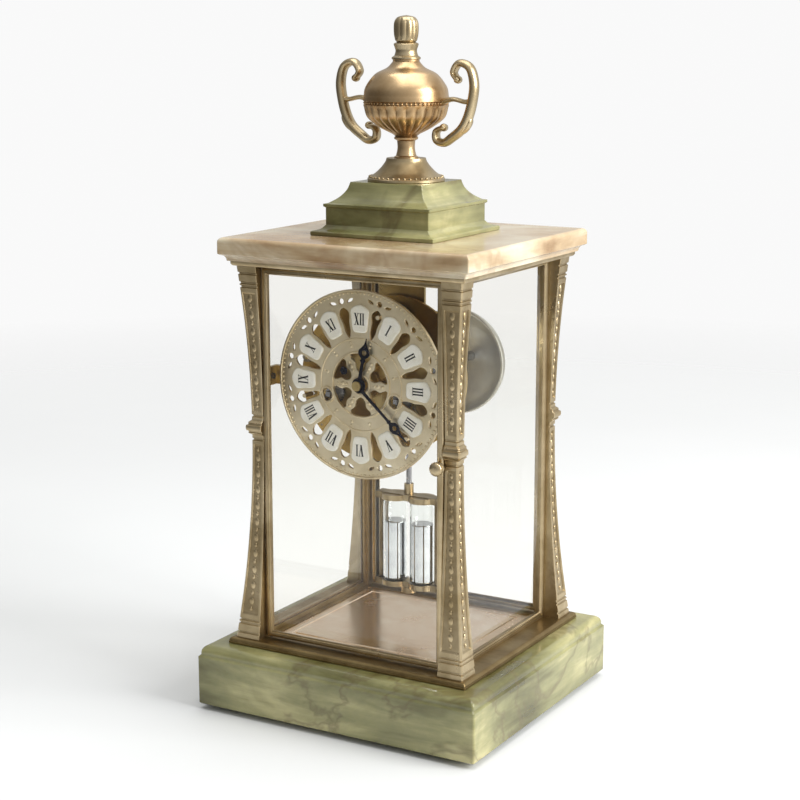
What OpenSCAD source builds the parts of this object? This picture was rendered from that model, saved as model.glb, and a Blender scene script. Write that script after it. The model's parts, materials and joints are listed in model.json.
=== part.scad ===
/* [Case] */
// Width of the onyx base
base_w = 170; // [168:1:200]
// Depth of the onyx base
base_d = 159; // [157:1:190]
// Height of the onyx base slab, without its feet
base_h = 33; // [26:1:40]
// Height of the feet
foot_h = 3; // [2:0.5:5]
// Width of the onyx top plate
top_w = 148.6; // [147:0.2:160]
// Depth of the onyx top plate
top_d = 137.4; // [136:0.2:150]
// Thickness of the onyx top plate
top_h = 12.3; // [10:0.1:16]
// How far each post's outer faces flare out from the waist to the foot
post_flare = 7.4; // [5:0.2:7.8]

/* [Dial] */
// Outer radius of the dial ring
dial_r = 50; // [49:0.5:50]
// Radius at which the twelve numeral plaques sit
plaque_ring_r = 34.5; // [33.5:0.5:36]
// Length of the minute hand from the dial centre
minute_hand_l = 40; // [36:1:44]
// Length of the hour hand from the dial centre
hour_hand_l = 25.5; // [24:0.5:27]
// Minutes past the hour that the hands show
minutes_shown = 22; // [0:1:59]
// Hour that the hands show
hour_shown = 0; // [0:1:11]

/* [Movement] */
// Radius of the two round plates
plate_r = 42; // [42:0.5:44]
// Thickness of each plate
plate_t = 1.8; // [1.4:0.1:2]
// Radius of the bell
bell_r = 29; // [26:1:30]

/* [Pendulum] */
// Outer radius of each glass jar
jar_r = 7; // [6:0.5:7]
// Height of each glass jar
jar_h = 46; // [40:1:48]

/* [Finial] */
// Height of the finial above the onyx block
finial_h = 85.6; // [84:0.2:88]

/* [Hidden] */

$fn = 96;
onyx = "darkseagreen";
gilt = "burlywood";
brass = "goldenrod";
steel = "slategray";

// Levels of the case, upwards
slab_z = foot_h;
rail_z = slab_z + base_h;
rail_h = 3.5;
post_z = rail_z + rail_h;
post_top = post_z + 203;
top_rail_h = 2.7;
plate_z = post_top + top_rail_h;
block_z = plate_z + top_h;
block_h = 27.5;
finial_z = block_z + block_h;

// Plan of the case: the posts' inner corner and their outer corner at the waist
inner_x = 55;
inner_y = 50;
waist_x = 62.6;
waist_y = 56.8;
post_centre = [60.5, 55];
rail_half = [73, 67.2];
top_rail_half = [69.5, 63.7];
floor_half = [53, 48];
floor_t = 3;
shank_r = 2;
gap = 0.05;

// Depth of each layer, from the glass back to the rear door
door_y = -55.5;
door_t = 4.2;
dial_y = -47.4;
dial_t = 1.5;
front_y = -38;
front_back = front_y + plate_t;
plate_gap = 26.2;
back_y = front_back + plate_gap;
back_back = back_y + plate_t;
centre_z = 183;

// Planes of the two hands
hour_hand_y = -49.6;
minute_hand_y = -50.9;
hand_t = 0.7;
minute_angle = minutes_shown * 6;
hour_angle = (hour_shown + minutes_shown / 60) * 30;

// Wheel sizes: teeth and modules
barrel_teeth = 84;
great_m = 0.42;
second_m = 0.4;
centre_m = 0.36;
third_m = 0.34;
pin_m = 0.36;
fly_m = 0.32;
motion_m = 0.42;
hour_m = 0.4032;
escape_teeth = 37;
escape_r = 8.5;

// Arbor positions, as [x, height above the dial centre]
going_at = [20.5, -7];
strike_at = [-20.5, -7];
second_at = meet([0, 0], 16.8, going_at, 20.58);
third_at = meet([0, 0], 16.38, [0, 25.89], 14.28);
escape_at = [0, 25.89];
pallet_at = [0, 37.9];
pin_at = strike_at + 20.58 * heading(95);
locking_at = pin_at + 14.4 * heading(60);
fly_at = locking_at + 10.72 * heading(170);
minute_at = 10.08 * heading(60);
hammer_at = [-30, -26];
pillar_at = [[37.7, 10.1], [-37.7, 10.1], [18.5, -32], [-18.5, -32]];
dial_foot_angles = [75, 195, 315];
bracket_x = 34;
pivot_r = 0.5;
arbor_r = 0.8;

// Each pinion's and wheel's place behind the front plate, as [near, far]
great_t = [3, 5];
second_pinion_t = [2, 6];
second_wheel_t = [19, 20.5];
centre_pinion_t = [18.8, 21];
centre_wheel_t = [22, 23.5];
third_pinion_t = [21.5, 24];
third_wheel_t = [17.4, 18.4];
escape_pinion_t = [16.6, 19.2];
escape_wheel_t = [22.2, 23.2];
locking_pinion_t = [18.5, 21];
locking_wheel_t = [8, 9.2];
fly_pinion_t = [7.3, 10];

// Pendulum and bell
rod_y = 3;
jar_z = 64;
jar_gap = 17;
bell_at = [20, 35, centre_z + 4];

function heading(a) = [cos(a), sin(a)];
function bearing(from, to) = atan2(to[1] - from[1], to[0] - from[0]);
// The point at distance ra from a and rb from b, on the right of the line from a to b
function meet(a, ra, b, rb) =
    let (d = norm(b - a), u = (b - a) / d, s = (ra * ra - rb * rb + d * d) / (2 * d))
    a + s * u + sqrt(ra * ra - s * s) * [u[1], -u[0]];
// A point on the smooth curve through p[i] and p[i + 1]
function spline(p, i, t) =
    let (n = len(p) - 1, a = p[max(i - 1, 0)], b = p[i], c = p[i + 1], d = p[min(i + 2, n)])
    0.5 * (2 * b + (c - a) * t + (2 * a - 5 * b + 4 * c - d) * t * t + (3 * b - a - 3 * c + d) * t * t * t);
// A smooth curve through hand-placed points
function curve(p, steps) =
    concat([for (i = [0 : len(p) - 2], k = [0 : steps - 1]) spline(p, i, k / steps)], [p[len(p) - 1]]);
// Half of a moulded block's section, mirrored into a whole one
function section(w, outline) =
    concat([for (p = outline) [w / 2 - p[0], p[1]]],
           [for (i = [len(outline) - 1 : -1 : 0]) [outline[i][0] - w / 2, outline[i][1]]]);
// A quarter arc in a moulding, from angle a0 to a1
function quarter(inset, z, r, a0, a1) =
    [for (k = [0 : 6]) let (a = a0 + (a1 - a0) * k / 6) [inset - r * cos(a), z + r * sin(a)]];
// Outline of a ribbon along a path, thinner at both ends
function ribbon(path, half) =
    let (n = len(path) - 1,
         side = [for (i = [0 : n])
             let (d = path[min(i + 1, n)] - path[max(i - 1, 0)], u = d / norm(d),
                  w = half * (0.55 + 0.45 * sin(180 * i / n)))
             w * [-u[1], u[0]]])
    concat([for (i = [0 : n]) path[i] + side[i]], [for (i = [n : -1 : 0]) path[i] - side[i]]);
// Outline of one toothed wheel; rises are [radius, share of half a pitch]
function teeth(n, r, rises, phase) =
    [for (i = [0 : n - 1], k = [0 : 7])
        let (rise = rises[k < 4 ? k : 7 - k], side = k < 4 ? -1 : 1)
        (r + rise[0]) * heading(phase + i * 360 / n + side * rise[1] * 180 / n)];
function wheel_rises(m) = [[-1.2 * m, 0.46], [0, 0.42], [0.47 * m, 0.3], [0.85 * m, 0.14]];
function leaf_rises(m) = [[-1.15 * m, 0.4], [0, 0.36], [0.41 * m, 0.26], [0.75 * m, 0.12]];

// The layer between the plates that such a pair of numbers gives
module layer(t) {
    slab(front_back + t[0], front_back + t[1]) children();
}

// Extrudes a front view from y0 back to y1
module slab(y0, y1) {
    translate([0, y1, 0]) rotate([90, 0, 0]) linear_extrude(y1 - y0) children();
}

// A rod from y0 back to y1 at a front-view point
module rod(p, r, y0, y1) {
    translate([p[0], y1, p[1]]) rotate([90, 0, 0]) cylinder(r = r, h = y1 - y0);
}

// The same, with twelve flat sides, for the small arbors
module arbor(p, r, y0, y1) {
    translate([p[0], y1, p[1]]) rotate([90, 0, 0]) cylinder(r = r, h = y1 - y0, $fn = 12);
}

// Places children at the dial centre
module at_centre() {
    translate([0, 0, centre_z]) children();
}

// Copies children to the four corners
module corners(p) {
    for (x = [-1, 1], y = [-1, 1]) translate([x * p[0], y * p[1], 0]) children();
}

module moulded(w, d, outline) {
    intersection() {
        translate([0, d / 2, 0]) rotate([90, 0, 0]) linear_extrude(d) polygon(section(w, outline));
        translate([-w / 2, 0, 0]) rotate([90, 0, 90]) linear_extrude(w) polygon(section(d, outline));
    }
}

// Onyx base and the feet under it
base_outline = concat(
    [[0, slab_z], [0, slab_z + base_h - 6], [1.2, slab_z + base_h - 5]],
    quarter(5.2, slab_z + base_h - 4, 4, 0, 90));

module base_plinth() {
    color(onyx) difference() {
        moulded(base_w, base_d, base_outline);
        corners(post_centre) translate([0, 0, slab_z - 1]) cylinder(r = shank_r + gap, h = base_h + 2);
        corners(post_centre) translate([0, 0, slab_z - 1]) cylinder(r = 6.5, h = 9);
    }
}

module base_feet() {
    color(brass) corners([base_w / 2 - 14, base_d / 2 - 14]) cylinder(r = 8, h = foot_h);
}

// Bolts up into the posts, bolts down through the top rail, the finial's nut, the doors' pivots
module case_screws() {
    color(steel) {
        corners(post_centre) translate([0, 0, slab_z + 5]) cylinder(r = 5, h = 3);
        corners(post_centre) translate([0, 0, slab_z + 8]) cylinder(r = shank_r, h = post_z + 10 - slab_z - 8);
        corners(post_centre) translate([0, 0, post_top - 10]) cylinder(r = shank_r, h = plate_z + 8 - post_top + 10);
        translate([0, 0, plate_z - 4]) finial_nut();
        for (s = [-1, 1]) translate([s * hinge_x, s * -door_y, 0]) {
            translate([0, 0, rail_z]) cylinder(r = 0.8, h = rail_h + pivot_reach);
            translate([0, 0, post_top - pivot_reach]) cylinder(r = 0.8, h = top_rail_h + pivot_reach);
        }
    }
}

module finial_nut() {
    difference() {
        cylinder(r = 6, h = 4, $fn = 6);
        translate([0, 0, -1]) cylinder(r = 3 + gap, h = 6);
    }
}

// Brass rail under the posts
module base_rail() {
    color(brass) difference() {
        moulded(2 * rail_half[0], 2 * rail_half[1],
            concat([[0, rail_z], [0, rail_z + 1.5]], quarter(2, rail_z + 1.5, 2, 0, 90)));
        translate([-floor_half[0] - 0.1, -floor_half[1] - 0.1, rail_z - 1])
            cube([2 * floor_half[0] + 0.2, 2 * floor_half[1] + 0.2, rail_h + 2]);
        corners(post_centre) translate([0, 0, rail_z - 1]) cylinder(r = shank_r + gap, h = rail_h + 2);
        pivot_holes(rail_z - 1, rail_h + 2);
    }
}

module pivot_holes(z, h) {
    for (s = [-1, 1]) translate([s * hinge_x, s * -door_y, z]) cylinder(r = 0.82, h = h);
}

module floor_plate() {
    color("wheat") translate([-floor_half[0], -floor_half[1], rail_z])
        cube([2 * floor_half[0], 2 * floor_half[1], floor_t]);
}

module top_rail() {
    color(brass) difference() {
        moulded(2 * top_rail_half[0], 2 * top_rail_half[1],
            [[1.2, post_top], [0, post_top + 1.2], [0, plate_z]]);
        translate([-floor_half[0], -floor_half[1], post_top - 1])
            cube([2 * floor_half[0], 2 * floor_half[1], 8]);
        corners(post_centre) translate([0, 0, post_top - 1]) cylinder(r = shank_r + gap, h = 8);
        pivot_holes(post_top - 1, 8);
    }
}

// One post: square in plan, its two outer faces curved in to a waist, with a small band above the middle
waist_z = (post_z + post_top) / 2 + 11;
waist_r = (pow(waist_z - post_z, 2) + post_flare * post_flare) / (2 * post_flare);
band_z = waist_z + 3.5;

module post_view(inner, waist) {
    difference() {
        translate([inner, post_z]) square([waist + post_flare - inner, post_top - post_z]);
        translate([waist + waist_r, waist_z]) circle(r = waist_r, $fn = 240);
    }
    translate([waist - 2, band_z]) circle(r = 4.5);
}

module post() {
    color(gilt) difference() {
        intersection() {
            slab(inner_y, waist_y + post_flare) post_view(inner_x, waist_x);
            rotate([90, 0, 90]) linear_extrude(waist_x + post_flare) post_view(inner_y, waist_y);
        }
        translate([post_centre[0], post_centre[1], post_z - 1]) cylinder(r = shank_r + gap, h = 12);
        translate([post_centre[0], post_centre[1], post_top - 11]) cylinder(r = shank_r + gap, h = 12);
    }
}

// Mortise that takes a door latch's tongue
latch_x = 53.3;
latch_z = 148;
module latch_slot() {
    translate([inner_x - 0.5, -53.5, latch_z - 7.2]) cube([5.7, 2, 9]);
}

module post_front_left() {
    mirror([1, 0, 0]) mirror([0, 1, 0]) post();
}

module post_front_right() {
    difference() {
        mirror([0, 1, 0]) post();
        latch_slot();
    }
}

module post_back_left() {
    difference() {
        mirror([1, 0, 0]) post();
        rotate([0, 0, 180]) latch_slot();
    }
}

module post_back_right() {
    post();
}

// Onyx top plate, the block on it and the gilt finial
module top_plate() {
    color("darkkhaki") difference() {
        moulded(top_w, top_d, concat(
            [[3.5, plate_z]], [[3.2, plate_z + 1.5], [1.8, plate_z + 3], [0, plate_z + 3.6], [0, block_z - 3]],
            quarter(2.5, block_z - 2.5, 2.5, 0, 90)));
        corners(post_centre) translate([0, 0, plate_z - 1]) cylinder(r = shank_r + gap, h = 9.5);
        translate([0, 0, plate_z - 1]) cylinder(r = 3 + gap, h = top_h + 2);
    }
}

block_outline = concat(
    [[0, block_z], [0, block_z + 2]],
    curve([[0.6, block_z + 2.4], [4, block_z + 3.4], [6, block_z + 5.5]], 4),
    [[6, block_z + 14.5], [5, block_z + 15.2], [5, block_z + 16.4]],
    curve([[7, block_z + 16.8], [11, block_z + 19.6], [14, block_z + 23.4], [15.4, block_z + block_h]], 4));

module dome_block() {
    color(onyx) difference() {
        moulded(74, 74, block_outline);
        translate([0, 0, block_z - 1]) cylinder(r = 3 + gap, h = block_h + 2);
    }
}

module turned(outline) {
    translate([0, 0, finial_z]) rotate_extrude() polygon(outline);
}

module finial_socle() {
    color(gilt) {
        turned(concat([[0, 0], [20.5, 0], [20.5, 1.6]],
            curve([[19.4, 2.2], [16, 4.4], [13, 7.4], [11, 10.2], [10.4, 12]], 4), [[0, 12]]));
        translate([0, 0, plate_z - 6]) cylinder(r = 3, h = finial_z - plate_z + 6);
    }
}

module finial_urn() {
    color(gilt) turned(concat([[0, 12], [6.4, 12]],
        curve([[5.4, 13.2], [4.6, 17], [4.8, 21], [7.4, 24.6], [14, 28], [20.4, 33], [22.6, 41], [21.4, 49],
               [16.4, 55.4], [10, 58.8], [7, 63]], 4), [[0, 63]]));
}

// Two scrolled handles: a volute under the bowl, a wide bow and a curl at the top
handle_path = curve([[22.6, 28.4], [18.4, 26.4], [18.6, 21.8], [23, 20.6], [27.6, 23.4], [33, 27.6], [36.6, 33.4],
                     [39.2, 42], [40.2, 51], [37.8, 59], [31.8, 61.4], [28.4, 56.8], [30.8, 53]], 4);

module finial_handles() {
    color(gilt) for (s = [0, 1]) mirror([s, 0, 0])
        translate([0, 0, finial_z]) slab(-3.5, 3.5) polygon(ribbon(handle_path, 2.6));
    color(gilt) for (s = [0, 1]) mirror([s, 0, 0])
        translate([0, 0, finial_z]) slab(-2.5, 2.5) polygon([[21, 40], [38.4, 40.4], [38.8, 43.6], [21, 44.4]]);
}

module finial_knob() {
    color(gilt) turned(concat([[0, 63], [7.6, 63], [7.6, 64.2]],
        curve([[6.2, 65], [5.6, 67.4], [6.2, 69.6], [6.6, 70.8]], 4),
        curve([[4.9, 71.8], [6, 73.4], [6.6, 77], [6.4, 82], [4.4, finial_h - 1], [0, finial_h]], 4)));
}

// Doors: a brass frame round a bevelled pane, turning on pivots in its rounded hinge edge
hinge_x = 52.5;
pivot_reach = 2.3;
door_half = 54.6;
door_z0 = post_z + 0.6;
door_z1 = post_top - 0.6;
// Half the opening, the pane and its rebate; and each one's distance in from the frame's ends
door_opening = [50.6, 3.6];
door_pane = [51.9, 2.5];
door_rebate = [52, 2.4];

// A box of depth d from y, given by its half width and its distance in from both ends
module opening(size, y, d, z0, z1) {
    translate([-size[0], y, z0 + size[1]]) cube([2 * size[0], d, z1 - z0 - 2 * size[1]]);
}

module door_frame() {
    color(gilt) difference() {
        union() {
            translate([-hinge_x, door_y - door_t / 2, door_z0])
                cube([hinge_x + door_half, door_t, door_z1 - door_z0]);
            translate([-hinge_x, door_y, door_z0]) cylinder(r = door_t / 2, h = door_z1 - door_z0);
        }
        opening(door_opening, door_y - 5, 10, door_z0, door_z1);
        opening(door_rebate, door_y - 0.5, 5, door_z0, door_z1);
        for (z = [door_z0 - 1, door_z1 - 2]) translate([-hinge_x, door_y, z]) cylinder(r = 0.88, h = 3);
        rod([latch_x, latch_z], 0.86, door_y - 5, door_y + 5);
    }
}

// A pane's section: w wide, back face at y1, bevelled from its middle at y0 to its edge at y0 + 0.75
function pane_section(w, y0, y1) =
    [[-w, y1], [w, y1], [w, y0 + 0.75], [w - 1.5, y0 + 0.75], [w - 7, y0],
     [7 - w, y0], [1.5 - w, y0 + 0.75], [-w, y0 + 0.75]];

module pane(w, z0, z1, y0, y1) {
    color("aliceblue", 0.3) intersection() {
        translate([0, 0, z0]) linear_extrude(z1 - z0) polygon(pane_section(w, y0, y1));
        translate([-w, 0, (z0 + z1) / 2]) rotate([90, 0, 90]) linear_extrude(2 * w)
            polygon([for (p = pane_section((z1 - z0) / 2, y0, y1)) [p[1], p[0]]]);
    }
}

module door_glass() {
    pane(door_pane[0], door_z0 + door_pane[1], door_z1 - door_pane[1], door_y - 1.2, door_y + 2.05);
}

// A turn-button: knob, spindle and the tongue behind the stile
module latch() {
    color(gilt) {
        rod([latch_x, latch_z], 0.8, door_y - 2.3, -51.9);
        translate([latch_x, door_y - 2.25, latch_z]) rotate([90, 0, 0]) rotate_extrude()
            polygon(concat([[0, 0], [2.6, 0], [2.6, 0.7]],
                curve([[1.6, 1.2], [1.6, 2.2], [3.6, 3.6], [3.6, 5.2], [2, 6.3], [0, 6.5]], 4)));
        slab(-53.1, -51.9) translate([latch_x, latch_z]) {
            circle(r = 2.2);
            translate([0, -1.2]) square([6.2, 2.4]);
        }
    }
}

module front_door_frame() { door_frame(); }
module front_glass() { door_glass(); }
module front_latch() { latch(); }
module rear_door_frame() { rotate([0, 0, 180]) door_frame(); }
module rear_glass() { rotate([0, 0, 180]) door_glass(); }
module rear_latch() { rotate([0, 0, 180]) latch(); }

// Fixed side panes in their frames
side_x = 60.5;
side_t = 4;
side_opening = [45.9, 3.6];
side_pane = [47.2, 2.5];
side_rebate = [47.3, 2.4];
module both_sides() {
    for (s = [0, 180]) rotate([0, 0, s]) rotate([0, 0, 90]) children();
}

module side_frames() {
    color(gilt) difference() {
        both_sides() difference() {
            translate([-inner_y, -side_x, post_z]) cube([2 * inner_y, side_t, post_top - post_z]);
            opening(side_opening, -side_x - 1, 6, post_z, post_top);
            opening(side_rebate, -side_x + 1, 4, post_z, post_top);
        }
        foot_screws(screw_r + gap, bracket_end - 1, side_x - 0.7);
    }
}

module side_glasses() {
    both_sides() pane(side_pane[0], post_z + side_pane[1], post_top - side_pane[1], -side_x + 0.3, -side_x + 3.9);
}

// Straps that carry the movement, each with a foot screwed to a side frame beside the front post
bracket_end = side_x - side_t;
bracket_t = 2.5;
screw_r = 0.8;
screw_y = -48.7;

module foot_screws(r, x0, x1) {
    for (s = [-1, 1]) translate([s > 0 ? x0 : -x1, screw_y, centre_z]) rotate([0, 90, 0])
        cylinder(r = r, h = x1 - x0);
}

module movement_brackets() {
    color(brass) difference() {
        at_centre() for (s = [0, 1]) mirror([s, 0, 0]) {
            slab(-44.8, -42.2) {
                translate([bracket_x, 0]) circle(r = 5);
                translate([bracket_x, -5]) square([bracket_end - 0.4 - bracket_x, 10]);
            }
            translate([bracket_end - bracket_t, -inner_y, -5]) cube([bracket_t - 0.4, inner_y - 42.2, 10]);
            translate([bracket_end - 1, -inner_y, -5]) cube([1, 2.5, 10]);
            rod([bracket_x, 0], 4, -42.3, front_y);
        }
        at_centre() for (s = [-1, 1]) rod([s * bracket_x, 0], 1.2 + gap, -46, -37);
        foot_screws(screw_r + gap, bracket_end - 5, bracket_end + 1);
    }
}

// Bracket screws and the pillars' nuts
module movement_screws() {
    color(steel) foot_screws(screw_r, bracket_end - bracket_t - 0.1, side_x - 0.8);
    color(steel) foot_screws(1.6, bracket_end - bracket_t - 1.2, bracket_end - bracket_t);
    color(steel) at_centre() {
        for (s = [-1, 1]) {
            rod([s * bracket_x, 0], 1.2, -44.9, front_back);
            rod([s * bracket_x, 0], 2.3, -45.6, -44.85);
        }
        for (p = pillar_at, y = [front_y - 2, back_back]) difference() {
            translate([p[0], y + 2, p[1]]) rotate([90, 0, 0]) cylinder(r = 2.9, h = 2, $fn = 6);
            rod(p, 1.2 + gap, y - 1, y + 3);
        }
    }
}

// The two plates, pierced for every arbor
module pierced(places, r) {
    for (p = places) translate(p) circle(r = r);
}

pivots = [second_at, third_at, escape_at, pin_at, locking_at, fly_at, hammer_at];

module front_plate() {
    color(brass) at_centre() {
        slab(front_y, front_back) difference() {
            circle(r = plate_r, $fn = 180);
            pierced(concat(pivots, [pallet_at]), pivot_r + gap + 0.01);
            pierced(concat(pillar_at, [[bracket_x, 0], [-bracket_x, 0]]), 1.2 + gap);
            pierced([for (a = dial_foot_angles) 37 * heading(a)], 1.2 + gap);
            pierced([going_at, strike_at], 1.97);
            pierced([[0, 0]], 1.08);
        }
        rod(minute_at, 0.8, front_y - 5, front_y + 0.5);
        for (s = [-1, 1]) rod([s * click_at[0], click_at[1]], 0.9, front_y - 2, front_y + 0.5);
    }
}

module back_plate() {
    color(brass) at_centre() slab(back_y, back_back) difference() {
        circle(r = plate_r, $fn = 180);
        pierced(concat([for (p = pivots) if (p != hammer_at) p], [[0, 0]]), pivot_r + gap + 0.01);
        pierced([pallet_at, hammer_at], arbor_r + 0.08);
        pierced(pillar_at, 1.2 + gap);
        pierced([going_at, strike_at], 1.27);
        pierced([[bell_at[0], bell_at[2] - centre_z]], 1.5 + gap);
        pierced([[11, 33.5], [-11, 33.5]], 1 + gap);
    }
}

module plate_pillars() {
    color(brass) at_centre() for (p = pillar_at) {
        rod(p, 2.5, front_back, back_y);
        rod(p, 1.2, front_y - 2, back_back + 2);
    }
}

// Openwork dial ring with its feet, and the twelve plaques on it
module dial_ring() {
    color(gilt) at_centre() difference() {
        union() {
            slab(dial_y, dial_y + dial_t) circle(r = dial_r, $fn = 180);
            slab(dial_y - 0.9, dial_y + 0.1) difference() {
                circle(r = dial_r, $fn = 180);
                circle(r = dial_r - 2, $fn = 180);
            }
            slab(dial_y - 0.7, dial_y + 0.1) difference() {
                circle(r = 18.4);
                circle(r = 16);
            }
            for (a = dial_foot_angles) rod(37 * heading(a), 1.2, dial_y + 1, front_back);
        }
        slab(dial_y - 2, dial_y + 5) {
            difference() {
                circle(r = 17);
                circle(r = 6);
                for (a = [0 : 60 : 300]) rotate(a) translate([5, -1.1]) square([13, 2.2]);
            }
            circle(r = 4.2);
            pierced([going_at, strike_at], 3.2);
            for (a = [15 : 30 : 345]) rotate(a) {
                translate([28, 0]) polygon([[-3, 0], [0, 1.5], [10, 3], [13, 0], [10, -3], [0, -1.5]]);
                translate([44.5, 0]) circle(r = 1.6);
            }
        }
    }
}

module dial_plaques() {
    color("ivory") at_centre() for (a = [0 : 30 : 330]) rotate([0, a, 0])
        slab(dial_y - 1, dial_y) translate([0, plaque_ring_r]) polygon(
            curve([[-3.9, -6.2], [0, -7], [3.9, -6.2], [5, 0], [5.2, 5], [0, 7.6], [-5.2, 5], [-5, 0],
                   [-3.9, -6.2]], 4));
}

// Hands, drawn pointing up and turned to the time
module hand_at(a) {
    at_centre() rotate([0, a, 0]) children();
}

module hour_hand() {
    color("black") hand_at(hour_angle) slab(hour_hand_y, hour_hand_y + hand_t) difference() {
        union() {
            circle(r = 4);
            translate([-1.1, 0]) square([2.2, 14]);
            polygon(curve([[-0.9, 13], [-3.4, 16.5], [-3, 19.4], [-0.6, 22], [0, hour_hand_l],
                           [0.6, 22], [3, 19.4], [3.4, 16.5], [0.9, 13], [-0.9, 13]], 3));
        }
        circle(r = 2.65);
        translate([0, 17.4]) circle(r = 1.4);
    }
}

module minute_hand() {
    color("black") hand_at(minute_angle) slab(minute_hand_y, minute_hand_y + hand_t) difference() {
        union() {
            circle(r = 3.2);
            polygon([[-1, -11], [1, -11], [0.9, 26], [-0.9, 26]]);
            translate([0, -11]) circle(r = 2.2);
            polygon(curve([[-0.8, 25], [-3, 28.6], [-2.6, 31.6], [-0.5, 34.5], [0, minute_hand_l],
                           [0.5, 34.5], [2.6, 31.6], [3, 28.6], [0.8, 25], [-0.8, 25]], 3));
        }
        circle(r = 1.64);
        translate([0, 29.6]) circle(r = 1.2);
    }
}

// Motion work: the cannon pinion drives the minute wheel, whose pinion drives the hour wheel
minute_bearing = bearing([0, 0], minute_at);

module cannon_pinion() {
    color(brass) at_centre() {
        difference() {
            union() {
                slab(front_y - 2.4, front_y - 0.6)
                    polygon(teeth(12, 6 * motion_m, leaf_rises(motion_m), minute_bearing));
                arbor([0, 0], 1.6, minute_hand_y, front_y - 0.6);
            }
            arbor([0, 0], 1.09, minute_hand_y - 1, front_y);
        }
        difference() {
            arbor([0, 0], 2.6, minute_hand_y - 1.1, minute_hand_y - 0.02);
            arbor([0, 0], 1.05, minute_hand_y - 2, minute_hand_y + 1);
        }
    }
}

module minute_wheel() {
    color(brass) at_centre() slab(front_y - 4.8, front_y - 0.8) translate(minute_at) difference() {
        circle(r = 1.3, $fn = 12);
        circle(r = 0.9, $fn = 12);
    }
    color(brass) at_centre() slab(front_y - 2.1, front_y - 0.9) difference() {
        translate(minute_at) polygon(teeth(36, 18 * motion_m, wheel_rises(motion_m), minute_bearing + 180 + 5));
        translate(minute_at) circle(r = 1.28, $fn = 12);
    }
    color(brass) at_centre() slab(front_y - 4.8, front_y - 2.6) difference() {
        translate(minute_at) polygon(teeth(10, 5 * hour_m, leaf_rises(hour_m), minute_bearing + 180));
        translate(minute_at) circle(r = 1.1, $fn = 12);
    }
}

module hour_wheel() {
    color(brass) at_centre() difference() {
        union() {
            slab(front_y - 4.3, front_y - 3)
                polygon(teeth(40, 20 * hour_m, wheel_rises(hour_m), minute_bearing + 4.5));
            arbor([0, 0], 2.6, hour_hand_y, front_y - 3);
        }
        arbor([0, 0], 1.85, hour_hand_y - 1, front_y);
    }
}

// Where the clicks pivot, mirrored for the strike side
click_at = [29, -18];

// Barrel: a hollow drum with its great wheel in front
module barrel(p, next) {
    color(brass) at_centre() {
        layer(great_t) difference() {
            translate(p) polygon(teeth(barrel_teeth, barrel_teeth / 2 * great_m, wheel_rises(great_m),
                bearing(p, next)));
            translate(p) circle(r = 2.3, $fn = 12);
        }
        difference() {
            rod(p, 16.6, front_back + 5.02, front_back + 17);
            rod(p, 15.4, front_back + 6, front_back + 16);
            rod(p, 2.06, front_back, front_back + 20);
        }
    }
}

module winding_arbor(p) {
    color(steel) at_centre() {
        rod(p, 2, front_back + 0.1, back_y - 0.1);
        rod(p, 3.5, front_back + 6.3, front_back + 15.7);
        rod(p, 1.9, front_y - 1.8, front_back + 0.2);
        rod(p, 1.2, back_y - 0.2, back_back);
        slab(front_y - 8.9, front_y - 1.6) translate([p[0] - 1.2, p[1] - 1.2]) square(2.4);
        slab(front_y - 1.7, front_y - 0.4) translate(p)
            polygon([for (i = [0 : 23], k = [0, 1]) (k == 0 ? 6 : 5) * heading(i * 15 + k * 1.5)]);
    }
}

module mainspring(p) {
    color(steel) at_centre() slab(front_back + 6.5, front_back + 15.5) translate(p)
        polygon(concat(
            [for (i = [0 : 252]) (4.6 + 10.2 * i / 252) * heading(i * 10)],
            [for (i = [252 : -1 : 0]) (5 + 10.2 * i / 252) * heading(i * 10)]));
}

module click(s) {
    color(steel) at_centre() slab(front_y - 1.7, front_y - 0.4) mirror([s, 0]) difference() {
        translate(click_at) polygon([[-1.9, -1.6], [1.9, -1.6], [1.7, 1.8], [-2.4, 9.2], [-2.3, 6], [-1.6, 2]]);
        translate(click_at) circle(r = 0.97);
    }
}

module going_barrel() { barrel(going_at, second_at); }
module going_arbor() { winding_arbor(going_at); }
module going_mainspring() { mainspring(going_at); }
module going_click() { click(0); }
module strike_barrel() { barrel(strike_at, pin_at); }
module strike_arbor() { winding_arbor(strike_at); }
module strike_mainspring() { mainspring(strike_at); }
module strike_click() { click(1); }

// An arbor between the plates with a pinion driven from behind and a wheel driving on ahead
module train_arbor(p, pinion, pinion_t, wheel, wheel_t) {
    color(brass) at_centre() {
        arbor(p, arbor_r, front_back + 0.1, back_y - 0.1);
        arbor(p, pivot_r, front_y, back_back);
        layer(pinion_t) translate(p)
            polygon(teeth(pinion[0], pinion[0] / 2 * pinion[1], leaf_rises(pinion[1]),
                bearing(p, pinion[2]) + 180 / pinion[0]));
        layer(wheel_t) translate(p) difference() {
            polygon(teeth(wheel[0], wheel[0] / 2 * wheel[1], wheel_rises(wheel[1]), bearing(p, wheel[2])));
            crossings(wheel[0] / 2 * wheel[1]);
        }
    }
}

// Four openings between a wheel's spokes
module crossings(r) {
    for (a = [0 : 90 : 270]) rotate(a) intersection() {
        difference() {
            circle(r = r * 0.82, $fn = 12);
            circle(r = r * 0.28, $fn = 12);
        }
        translate([0.6, 0.6]) square(r);
    }
}

module intermediate_wheel() {
    train_arbor(second_at, [14, great_m, going_at], second_pinion_t, [72, second_m, [0, 0]], second_wheel_t);
}

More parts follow.
